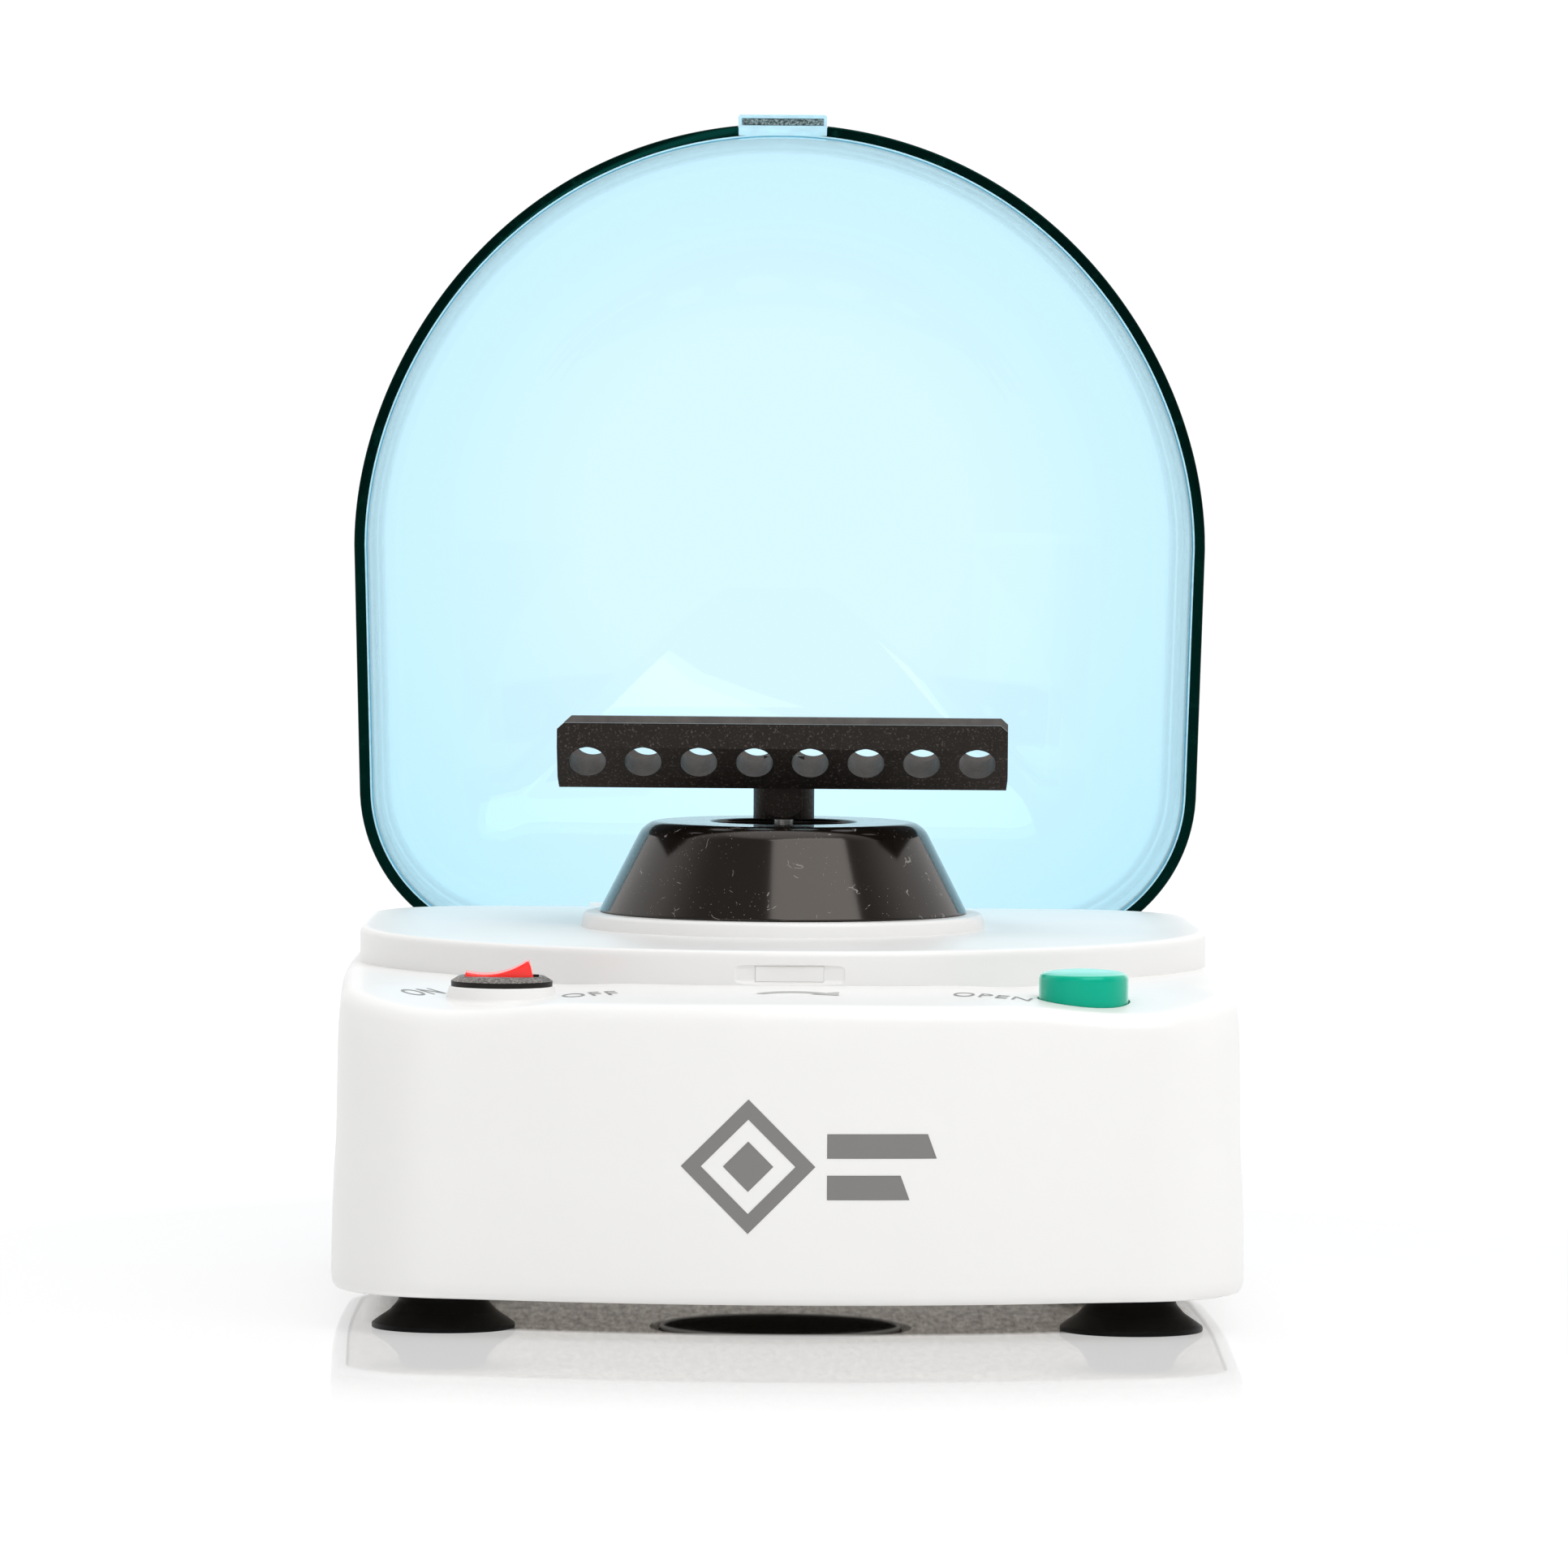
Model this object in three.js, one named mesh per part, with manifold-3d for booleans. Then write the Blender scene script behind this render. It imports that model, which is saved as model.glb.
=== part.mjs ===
// Mini laboratory centrifuge for two strips of small tubes.
// Millimetres, +Z up, the operator stands at -Y. The drive axis is the line x = 0, y = 0 while
// the parts are built; the whole group is shifted at the end so that the origin is the centre
// of the footprint. The lid is shown open, standing upright on its hinge.
import * as THREE from 'three';
import { mergeVertices } from 'three/addons/utils/BufferGeometryUtils.js';
import Module from 'manifold-3d';

const wasm = await Module();
wasm.setup();

// ---------------------------------------------------------------- driving dimensions
const GAP = 0.3;                 // running gap between separate pieces
const BODY_BOTTOM = 6.0;         // underside of the shell above the table
const WALL = 2.4;                // shell wall
const BODY_CENTRE_Y = -12;       // centre used to walk round the shell's outline
const BODY_FRONT_Y = -98.0;      // foremost point of the bowed front
const BODY_REAR_Y = 73;
const ROUND_STEPS = 60;          // points round the shell's outline
const DECK_STEPS = 52;           // points round the deck and the lid

const DECK_TOP = 59.3;           // raised deck that the lid closes over
const DECK_HALF = 68.85;
const DECK_FRONT = 68.15;
const DECK_REAR_Y = 59.4;
const DECK_REAR_HALF = 67.1;
const RING_R = 32.5;             // low plinth under the cowl
const RING_TOP = 61.7;
const MOTOR_HOLE_R = 25.9;

const CONE_BASE_R = 29.4;        // glossy cowl round the motor nose
const CONE_BASE_Z = RING_TOP + 0.05;
const CONE_TOP_Z = 76.5;
const CONE_MOUTH_R = 11.8;

const LID_HALF = 71.5;           // clear lid, given in its closed place
const LID_FRONT = 70.8;
const LID_REAR_Y = 68;
const LID_REAR_HALF = 69.6;
const LID_REAR_R = 27;
const LID_WALL = 2.25;
const LID_RIM_Z = 54.2;
const LID_TOP_Z = 116.5;
const HINGE_Y = 63;
const HINGE_Z = 57;
const PIN_R = 1.2;

const ROTOR_HALF = 36.4;         // strip rotor
const ROTOR_TOP = 92.9;
const ROTOR_BOTTOM = 82.3;
const ROTOR_HALF_DEPTH = 16.5;
const HOLE_PITCH = 9;            // standard pitch of a strip of tubes
const HOLE_R = 2.95;
const TUBE_SLOPE = THREE.MathUtils.degToRad(38);
const ROTOR_TURN = THREE.MathUtils.degToRad(1.3);
const SHAFT_R = 1.55;

const SWITCH_X = -43.7;
const CONTROL_Y = -75;
const BEZEL_TOP = 55.6;
const ROCKER_TILT = THREE.MathUtils.degToRad(10.6);
const ROCKER_PIVOT_Z = 53.1;
const BUTTON_X = 46.8;
const BUTTON_R = 7.0;
const BUTTON_TOP = 56.8;
const CAM_SLOPE = 0.6;           // latch travel per button travel

const FOOT_X = 54;
const FOOT_FRONT_Y = -70;
const FOOT_REAR_Y = 50;
const FOOT_LIP_R = 11.25;

const INLET_X = -44;
const INLET_Z = 25;

// ---------------------------------------------------------------- materials
function skin(colour, roughness, metalness = 0, opacity = 1) {
  return new THREE.MeshStandardMaterial({
    color: colour, roughness, metalness, opacity, transparent: opacity < 1,
  });
}
const WHITE = () => skin(0xf0f0ee, 0.38);
const DARK_GREY = () => skin(0x4c4a48, 0.7);
const BLACK_GLOSS = () => skin(0x14110f, 0.12);
const BLACK_MATTE = () => skin(0x2f2a28, 0.6);
const RUBBER = () => skin(0x1b1b1d, 0.75);
const STEEL = () => skin(0xb9bbbd, 0.32, 1);
const ZINC = () => skin(0xa7aaad, 0.4, 1);
const BRASS = () => skin(0xc9a24a, 0.35, 1);

// ---------------------------------------------------------------- solids
// Keeps only positions, joins equal points, drops slivers and turns the faces outward.
function tidy(geometry) {
  const plain = geometry.clone();
  for (const key of Object.keys(plain.attributes)) {
    if (key !== 'position') plain.deleteAttribute(key);
  }
  const merged = mergeVertices(plain, 1e-4);
  const p = merged.attributes.position.array;
  const kept = [];
  const index = merged.index.array;
  let volume = 0;
  for (let i = 0; i < index.length; i += 3) {
    const [a, b, c] = [index[i], index[i + 1], index[i + 2]];
    if (a === b || b === c || a === c) continue;
    kept.push(a, b, c);
    const [ax, ay, az] = [p[3 * a], p[3 * a + 1], p[3 * a + 2]];
    const [bx, by, bz] = [p[3 * b], p[3 * b + 1], p[3 * b + 2]];
    const [cx, cy, cz] = [p[3 * c], p[3 * c + 1], p[3 * c + 2]];
    volume += ax * (by * cz - bz * cy) + ay * (bz * cx - bx * cz) + az * (bx * cy - by * cx);
  }
  if (volume < 0) {
    for (let i = 0; i < kept.length; i += 3) [kept[i], kept[i + 1]] = [kept[i + 1], kept[i]];
  }
  return { points: new Float32Array(p), faces: new Uint32Array(kept) };
}

function solid(geometry) {
  const { points, faces } = tidy(geometry);
  return new wasm.Manifold(new wasm.Mesh({ numProp: 3, vertProperties: points, triVerts: faces }));
}

function surface(body) {
  const mesh = body.getMesh();
  const g = new THREE.BufferGeometry();
  const stride = mesh.numProp;
  const points = [];
  for (let i = 0; i < mesh.vertProperties.length; i += stride) {
    points.push(mesh.vertProperties[i], mesh.vertProperties[i + 1], mesh.vertProperties[i + 2]);
  }
  g.setAttribute('position', new THREE.Float32BufferAttribute(points, 3));
  g.setIndex(Array.from(mesh.triVerts));
  return g;
}

const joined = (first, ...rest) => rest.reduce((sum, part) => sum.add(part), first);
const cut = (first, ...rest) => rest.reduce((left, part) => left.subtract(part), first);

// A straight-sided solid: a flat outline of [u, v] pairs, carried from w0 to w1 by `place`.
function prism(outline, w0, w1, place) {
  const flat = outline.map(([u, v]) => new THREE.Vector2(u, v));
  if (THREE.ShapeUtils.area(flat) < 0) flat.reverse();
  const n = flat.length;
  const points = [];
  for (const w of [w0, w1]) for (const q of flat) points.push(...place(q.x, q.y, w));
  const faces = [];
  for (const [a, b, c] of THREE.ShapeUtils.triangulateShape(flat, [])) {
    faces.push(a, c, b, a + n, b + n, c + n);
  }
  for (let i = 0; i < n; i++) {
    const j = (i + 1) % n;
    faces.push(i, j, j + n, i, j + n, i + n);
  }
  const g = new THREE.BufferGeometry();
  g.setAttribute('position', new THREE.Float32BufferAttribute(points, 3));
  g.setIndex(faces);
  return solid(g);
}
const prismX = (yz, x0, x1) => prism(yz, x0, x1, (u, v, w) => [w, u, v]);
const prismY = (xz, y0, y1) => prism(xz, y0, y1, (u, v, w) => [u, w, v]);
const prismZ = (xy, z0, z1) => prism(xy, z0, z1, (u, v, w) => [u, v, w]);

function box(x0, x1, y0, y1, z0, z1) {
  const g = new THREE.BoxGeometry(x1 - x0, y1 - y0, z1 - z0);
  g.translate((x0 + x1) / 2, (y0 + y1) / 2, (z0 + z1) / 2);
  return solid(g);
}

function circle(u, v, r, steps) {
  const ring = [];
  for (let i = 0; i < steps; i++) {
    const a = (i / steps) * Math.PI * 2;
    ring.push([u + r * Math.cos(a), v + r * Math.sin(a)]);
  }
  return ring;
}
const drumZ = (x, y, r, z0, z1, steps = 24) => prismZ(circle(x, y, r, steps), z0, z1);
const drumY = (x, z, r, y0, y1, steps = 24) => prismY(circle(x, z, r, steps), y0, y1);
const drumX = (y, z, r, x0, x1, steps = 24) => prismX(circle(y, z, r, steps), x0, x1);

// A turned solid about a vertical axis through (x, y), from a closed profile of [radius, z].
function turned(profile, steps = 32, x = 0, y = 0) {
  const closed = [...profile, profile[0]].map(([r, z]) => new THREE.Vector2(r, z));
  const g = new THREE.LatheGeometry(closed, steps);
  g.rotateX(Math.PI / 2);
  g.translate(x, y, 0);
  return solid(g);
}

// A wire of round section along a list of points.
function wire(points, radius, steps, sides = 6) {
  const path = new THREE.CatmullRomCurve3(points, false, 'centripetal');
  const section = circle(0, 0, radius, sides).map(([u, v]) => new THREE.Vector2(u, v));
  const shape = new THREE.Shape(section);
  return new THREE.ExtrudeGeometry(shape, { steps, extrudePath: path, bevelEnabled: false });
}

function coilPoints(turns, perTurn, place) {
  const points = [];
  for (let i = 0; i <= turns * perTurn; i++) {
    const t = i / (turns * perTurn);
    const a = t * turns * Math.PI * 2;
    points.push(place(Math.cos(a), Math.sin(a), t));
  }
  return points;
}

// ---------------------------------------------------------------- outlines
// A closed polygon of {x, y, r} corners with every corner rounded, as a dense list of points.
function rounded(corners, perCorner = 14) {
  const path = [];
  const n = corners.length;
  for (let i = 0; i < n; i++) {
    const before = corners[(i + n - 1) % n];
    const here = corners[i];
    const after = corners[(i + 1) % n];
    const p = new THREE.Vector2(here.x, here.y);
    const a = new THREE.Vector2(before.x, before.y).sub(p).normalize();
    const b = new THREE.Vector2(after.x, after.y).sub(p).normalize();
    const half = Math.acos(THREE.MathUtils.clamp(a.dot(b), -1, 1)) / 2;
    const inward = a.clone().add(b).normalize();
    const centre = p.clone().add(inward.multiplyScalar(here.r / Math.sin(half)));
    const start = p.clone().add(a.clone().multiplyScalar(here.r / Math.tan(half))).sub(centre);
    const stop = p.clone().add(b.clone().multiplyScalar(here.r / Math.tan(half))).sub(centre);
    const from = start.angle();
    let sweep = stop.angle() - from;
    if (sweep > Math.PI) sweep -= Math.PI * 2;
    if (sweep < -Math.PI) sweep += Math.PI * 2;
    for (let k = 0; k <= perCorner; k++) {
      const angle = from + (sweep * k) / perCorner;
      path.push([centre.x + here.r * Math.cos(angle), centre.y + here.r * Math.sin(angle)]);
    }
  }
  return path;
}

// Moves every side of a counter-clockwise polygon of corners inward.
function inset(corners, d) {
  const n = corners.length;
  const sides = corners.map((c, i) => {
    const e = corners[(i + 1) % n];
    const length = Math.hypot(e.x - c.x, e.y - c.y);
    const [ux, uy] = [(e.x - c.x) / length, (e.y - c.y) / length];
    return { x: c.x - uy * d, y: c.y + ux * d, ux, uy };
  });
  return corners.map((c, i) => {
    const s = sides[(i + n - 1) % n];
    const t = sides[i];
    const det = s.ux * t.uy - s.uy * t.ux;
    const k = ((t.x - s.x) * t.uy - (t.y - s.y) * t.ux) / det;
    return { x: s.x + s.ux * k, y: s.y + s.uy * k, r: Math.max(c.r - d, 1.5) };
  });
}

// Where rays from (0, cy) leave a closed path. The rays crowd together at the four corners, or
// only at the two back ones for an outline with a round front.
const CROWDING = 0.5;
function around(path, cy, steps, roundFront = false) {
  const hits = [];
  for (let i = 0; i < steps; i++) {
    const even = (i / steps) * Math.PI * 2 - Math.PI / 2;
    const plain = roundFront && Math.sin(even) < 0;
    const angle = plain ? even : even + (CROWDING / 4) * Math.sin(4 * even);
    const [dx, dy] = [Math.cos(angle), Math.sin(angle)];
    let best = 0;
    for (let k = 0; k < path.length; k++) {
      const [ax, ay] = [path[k][0], path[k][1] - cy];
      const next = path[(k + 1) % path.length];
      const [ex, ey] = [next[0] - path[k][0], next[1] - path[k][1]];
      const det = dx * ey - dy * ex;
      if (Math.abs(det) < 1e-9) continue;
      const reach = (ax * ey - ay * ex) / det;
      const along = (ax * dy - ay * dx) / det;
      if (along >= -1e-6 && along <= 1 + 1e-6 && reach > best) best = reach;
    }
    hits.push([dx * best, cy + dy * best]);
  }
  return hits;
}

const BODY_CORNERS = [
  { x: 0, y: -102.8, r: 149.5 },
  { x: 71.4, y: -84.5, r: 21 },
  { x: 73.0, y: 2, r: 1200 },
  { x: 71.2, y: BODY_REAR_Y, r: 27 },
  { x: -71.2, y: BODY_REAR_Y, r: 27 },
  { x: -73.0, y: 2, r: 1200 },
  { x: -71.4, y: -84.5, r: 21 },
];
function shellRing(d, height) {
  const ring = around(rounded(inset(BODY_CORNERS, d)), BODY_CENTRE_Y, ROUND_STEPS);
  return ring.map(([x, y]) => [x, y, typeof height === 'number' ? height : height(x, y)]);
}

// D-shaped outline shared by the deck and the lid: round in front, drawn in at the back.
function dOutline(half, front, rearY, rearHalf, rearR, d = 0, steps = 20) {
  const path = [];
  for (let i = 0; i <= steps; i++) {
    const a = Math.PI + (i / steps) * Math.PI;
    path.push([(half - d) * Math.cos(a), (front - d) * Math.sin(a)]);
  }
  const r = Math.max(rearR - d, 4);
  const corners = rounded([
    { x: half - d, y: 0, r: 0.01 },
    { x: rearHalf - d, y: rearY - d, r },
    { x: -(rearHalf - d), y: rearY - d, r },
    { x: -(half - d), y: 0, r: 0.01 },
  ], 9);
  return path.concat(corners.slice(10, 30));
}
function dRing(spec, d, z, steps) {
  const path = dOutline(spec.half, spec.front, spec.rearY, spec.rearHalf, spec.rearR, d);
  return around(path, -2, steps, true).map(([x, y]) => [x, y, z]);
}
const DECK = {
  half: DECK_HALF, front: DECK_FRONT, rearY: DECK_REAR_Y, rearHalf: DECK_REAR_HALF, rearR: 22,
};
const LID = {
  half: LID_HALF, front: LID_FRONT, rearY: LID_REAR_Y, rearHalf: LID_REAR_HALF, rearR: LID_REAR_R,
};

// Skins a stack of equal-length rings and closes both ends.
function stacked(rings) {
  const n = rings[0].length;
  const points = rings.flat(2);
  const faces = [];
  for (let k = 0; k + 1 < rings.length; k++) {
    for (let i = 0; i < n; i++) {
      const j = (i + 1) % n;
      const [a, b, c, d] = [k * n + i, k * n + j, (k + 1) * n + j, (k + 1) * n + i];
      faces.push(a, b, c, a, c, d);
    }
  }
  for (const [k, flip] of [[0, true], [rings.length - 1, false]]) {
    const centre = points.length / 3;
    const middle = rings[k].reduce((m, q) => m.map((v, i) => v + q[i] / n), [0, 0, 0]);
    points.push(...middle);
    for (let i = 0; i < n; i++) {
      const j = (i + 1) % n;
      if (flip) faces.push(centre, k * n + j, k * n + i);
      else faces.push(centre, k * n + i, k * n + j);
    }
  }
  const g = new THREE.BufferGeometry();
  g.setAttribute('position', new THREE.Float32BufferAttribute(points, 3));
  g.setIndex(faces);
  return solid(g);
}

// Height along a smooth line through [angle from the front in degrees, height] stops.
function lineHeight(stops, x, y) {
  const angle = THREE.MathUtils.radToDeg(Math.atan2(Math.abs(x), -y));
  for (let i = 1; i < stops.length; i++) {
    const [a0, h0] = stops[i - 1];
    const [a1, h1] = stops[i];
    if (angle <= a1) return h0 + (h1 - h0) * THREE.MathUtils.smoothstep(angle, a0, a1);
  }
  return stops[stops.length - 1][1];
}
// The shoulder dips beside both front controls, rises towards the sides and drops behind the
// deck, where the open lid hangs over the shell.
const SHOULDER = [[0, 52.7], [20, 52.5], [32, 51.1], [46, 53.5], [64, 53.7], [118, 53.4],
  [135, 50.4]];
const LEDGE = [[0, 53.9], [20, 53.8], [32, 53.3], [46, 53.8], [118, 53.4], [135, 50.4]];
const shoulder = (x, y) => lineHeight(SHOULDER, x, y);
const ledge = (x, y) => lineHeight(LEDGE, x, y);

// ---------------------------------------------------------------- shell
function shellOutside() {
  const rim = shellRing(5.4, shoulder);
  const deckFoot = around(
    dOutline(DECK_HALF, DECK_FRONT, DECK_REAR_Y, DECK_REAR_HALF, 22, 0.6), BODY_CENTRE_Y, ROUND_STEPS);
  const foot = rim.map(([x, y], i) => {
    const [dx, dy] = [x, y - BODY_CENTRE_Y];
    const reach = Math.hypot(dx, dy);
    const want = Math.hypot(deckFoot[i][0], deckFoot[i][1] - BODY_CENTRE_Y);
    const k = Math.min(want, reach - 1.2) / reach;
    const q = [dx * k, BODY_CENTRE_Y + dy * k];
    return [q[0], q[1], ledge(q[0], q[1])];
  });
  const mid = rim.map((q, i) => [
    (q[0] + foot[i][0]) / 2, (q[1] + foot[i][1]) / 2, q[2] * 0.4 + foot[i][2] * 0.6]);
  return stacked([
    shellRing(1.9, BODY_BOTTOM),
    shellRing(0.8, BODY_BOTTOM + 0.3),
    shellRing(0.2, BODY_BOTTOM + 1.2),
    shellRing(0.0, BODY_BOTTOM + 2.8),
    shellRing(0.6, 28),
    shellRing(1.15, (x, y) => shoulder(x, y) - 5.4),
    shellRing(1.5, (x, y) => shoulder(x, y) - 3.2),
    shellRing(2.3, (x, y) => shoulder(x, y) - 1.5),
    shellRing(3.6, (x, y) => shoulder(x, y) - 0.4),
    rim, mid, foot,
  ]);
}

function deckOutside() {
  return stacked([
    dRing(DECK, 0, 49.0, DECK_STEPS),
    dRing(DECK, 0.05, DECK_TOP - 0.9, DECK_STEPS),
    dRing(DECK, 0.3, DECK_TOP - 0.3, DECK_STEPS),
    dRing(DECK, 0.9, DECK_TOP, DECK_STEPS),
  ]);
}

function plinth() {
  return turned([[0, 55], [RING_R, 55], [RING_R, RING_TOP - 0.8], [RING_R - 0.3, RING_TOP - 0.2],
    [RING_R - 0.9, RING_TOP], [0, RING_TOP]], 36);
}

function hinges(side) {
  const x0 = side * 26.5;
  const x1 = side * 31.5;
  const leg = prismX([[60.7, 47], [65.3, 47], [65.3, HINGE_Z], [60.7, HINGE_Z]],
    Math.min(x0, x1), Math.max(x0, x1));
  return leg.add(drumX(HINGE_Y, HINGE_Z, 2.75, Math.min(x0, x1), Math.max(x0, x1), 20));
}

const MOTOR_POSTS = [90, 210, 330].map((deg) => {
  const a = THREE.MathUtils.degToRad(deg);
  return [31 * Math.cos(a), 31 * Math.sin(a)];
});
const PLATE_SCREWS = [[-61, -38], [61, -38], [-58, 26], [58, 26]];

function upperHousing() {
  let shell = joined(shellOutside(), deckOutside(), plinth());
  // collar that carries the rocker switch
  shell = shell.add(drumZ(SWITCH_X, CONTROL_Y, 8.4, 46, 54.3, 32));
  // inside space: skirt level, then the space under the ledge, then under the deck
  const low = stacked([shellRing(WALL, 5), shellRing(WALL, 12), shellRing(WALL + 0.9, 40),
    shellRing(WALL + 3.2, 47.6)]);
  const deckInside = stacked([dRing(DECK, WALL, 44, 36), dRing(DECK, WALL, DECK_TOP - WALL, 36)]);
  shell = cut(shell, low, deckInside);
  shell = shell.add(hinges(1)).add(hinges(-1));
  // posts: three under the deck for the motor bracket, four for the bottom plate's screws
  const posts = MOTOR_POSTS.map(([x, y]) => drumZ(x, y, 4.2, 51.2, DECK_TOP - 1, 16));
  for (const [x, y] of PLATE_SCREWS) {
    posts.push(drumZ(x, y, 3.6, 8.5, Math.hypot(x, y) < 66 ? DECK_TOP - 1 : 51, 12));
  }
  // guide tube of the push button, with a floor under its spring
  posts.push(drumZ(BUTTON_X, CONTROL_Y, 9.2, 42.4, 50.8, 24));
  // rib behind the latch spring
  posts.push(box(-5, 5, -54.6, -52.6, 49.4, DECK_TOP - 1));
  shell = joined(shell, ...posts);
  const holes = MOTOR_POSTS.map(([x, y]) => drumZ(x, y, 1.6, 50, 56.4, 10));
  for (const [x, y] of PLATE_SCREWS) holes.push(drumZ(x, y, 1.6, 8, 19, 10));
  holes.push(drumZ(BUTTON_X, CONTROL_Y, BUTTON_R + GAP, 44.2, 60, 32));
  holes.push(box(BUTTON_X - 2.8, BUTTON_X + 2.8, -71.4, -68.5, 41, 45));
  holes.push(drumZ(SWITCH_X, CONTROL_Y, 7.5, 40, 60, 32));
  // slot for the latch in the front wall of the deck
  holes.push(box(-9.2, 9.2, -71, -64, 54.0, 57.0));
  holes.push(drumZ(0, 0, MOTOR_HOLE_R, 50, 65, 36));
  holes.push(drumX(HINGE_Y, HINGE_Z, PIN_R + 0.05, -33, 33, 24));
  // power inlet through the back wall
  holes.push(drumY(INLET_X, INLET_Z, 5.8, 66, 76, 24));
  return cut(shell, ...holes);
}

// ---------------------------------------------------------------- base and feet
function bottomPlate() {
  let plate = stacked([shellRing(WALL + GAP + 0.5, BODY_BOTTOM + 0.1),
    shellRing(WALL + GAP, BODY_BOTTOM + 0.5), shellRing(WALL + GAP, BODY_BOTTOM + 2.1)]);
  for (const [x, y] of [[-61, -12], [-32, -12], [-61, 16], [-32, 16]]) {
    plate = plate.add(drumZ(x, y, 2.2, 7, 14.7, 10));
  }
  const holes = [drumZ(0, 0, 21.4, 5, 10, 36)];
  for (const x of [-FOOT_X, FOOT_X]) {
    for (const y of [FOOT_FRONT_Y, FOOT_REAR_Y]) holes.push(drumZ(x, y, 5.0, 5, 10, 14));
  }
  for (const [x, y] of PLATE_SCREWS) holes.push(drumZ(x, y, 1.9, 5, 10, 10));
  for (const [x, y] of PLATE_SCREWS) holes.push(drumZ(x, y, 3.4, 5, 7.45, 12));
  return cut(plate, ...holes);
}

function suctionFoot(x, y) {
  return turned([[0, 2.6], [5.6, 2.5], [8.4, 1.5], [9.9, 0], [FOOT_LIP_R, 0], [FOOT_LIP_R, 0.8],
    [10.3, 1.5], [8.5, 2.7], [7.2, 4.1], [6.6, 5.8], [4.7, 5.8], [4.7, 8.4], [6.3, 8.4],
    [6.3, 9.8], [0, 10.0]], 16, x, y);
}

function panScrew(x, y, headR, headZ, shankR, tipZ) {
  return turned([[0, headZ], [headR * 0.8, headZ], [headR, headZ + 0.5], [headR, headZ + 1.1],
    [shankR, headZ + 1.1], [shankR, tipZ - 1], [0, tipZ]], 10, x, y);
}

// ---------------------------------------------------------------- drive
function motorCap() {
  return turned([[0, 5.75], [19.0, 5.75], [20.0, 6.5], [20.0, 8.4], [23.4, 8.4], [23.4, 9.8],
    [20.0, 9.8], [20.0, 15], [18.4, 15], [18.4, 7.9], [0, 7.9]], 28);
}
function motorCan() {
  return turned([[16.8, 8.3], [18, 8.3], [18, 70.4], [17.2, 71.4], [2.4, 71.4], [2.4, 70.0],
    [16.8, 70.0]], 28);
}
function endBell() {
  return turned([[2.2, 8.6], [16.4, 8.6], [16.4, 12.4], [5, 12.4], [5, 15], [2.2, 15]], 20);
}
function bearingBoss() {
  return turned([[2.0, 71.7], [6.4, 71.7], [6.4, 75.0], [5.9, 75.6], [2.0, 75.6]], 24);
}
function magnet(side) {
  const arc = [];
  for (let i = 0; i <= 10; i++) {
    const a = (-60 + 12 * i) * Math.PI / 180;
    arc.push([side * 16.4 * Math.cos(a), 16.4 * Math.sin(a)]);
  }
  for (let i = 10; i >= 0; i--) {
    const a = (-60 + 12 * i) * Math.PI / 180;
    arc.push([side * 13.6 * Math.cos(a), 13.6 * Math.sin(a)]);
  }
  return prismZ(arc, 22, 56);
}
// Three-pole iron core with its windings as one turned block.
function armature() {
  const outline = [];
  for (let pole = 0; pole < 3; pole++) {
    const mid = pole * 120;
    for (const deg of [-50, -30, -10, 10, 30, 50, 55, 65]) {
      const r = deg > 50 ? 9.0 : 13.0;
      const a = (mid + deg) * Math.PI / 180;
      outline.push([r * Math.cos(a), r * Math.sin(a)]);
    }
  }
  return cut(prismZ(outline, 24, 54), drumZ(0, 0, SHAFT_R + 0.25, 20, 60, 20));
}
function motorBracket() {
  const ears = MOTOR_POSTS.map(([x, y]) => drumZ(x, y, 7.4, 48.0, 49.2, 14));
  const disc = joined(drumZ(0, 0, 27, 48.0, 49.2, 30), ...ears);
  const holes = MOTOR_POSTS.map(([x, y]) => drumZ(x, y, 3.55, 47, 50, 12));
  return cut(disc, drumZ(0, 0, 18.3, 47, 50, 28), ...holes);
}
function damper(x, y) {
  return turned([[1.75, 45.4], [4.9, 45.4], [5.2, 45.9], [5.2, 47.2], [4.9, 47.7], [3.2, 47.7],
    [3.2, 49.5], [4.9, 49.5], [5.2, 50.0], [4.9, 50.9], [1.75, 50.9]], 12, x, y);
}
function coneCowl() {
  return turned([[25.6, 57.4], [25.6, CONE_BASE_Z], [CONE_BASE_R - 0.3, CONE_BASE_Z],
    [CONE_BASE_R, CONE_BASE_Z + 0.5], [22.5, 74.9], [22.0, 75.8], [21.2, 76.35], [20.2, CONE_TOP_Z],
    [CONE_MOUTH_R + 0.4, CONE_TOP_Z], [CONE_MOUTH_R, CONE_TOP_Z - 0.4], [CONE_MOUTH_R, 74.4],
    [19.6, 74.4], [20.6, 73.6], [24.0, 66.9], [24.0, 57.4]], 36);
}

// ---------------------------------------------------------------- rotor
function driveShaft() {
  return turned([[0, 13], [SHAFT_R - 0.3, 13], [SHAFT_R, 13.4], [SHAFT_R, 85.0],
    [SHAFT_R - 0.5, 85.6], [0, 85.6]], 20);
}

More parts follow.
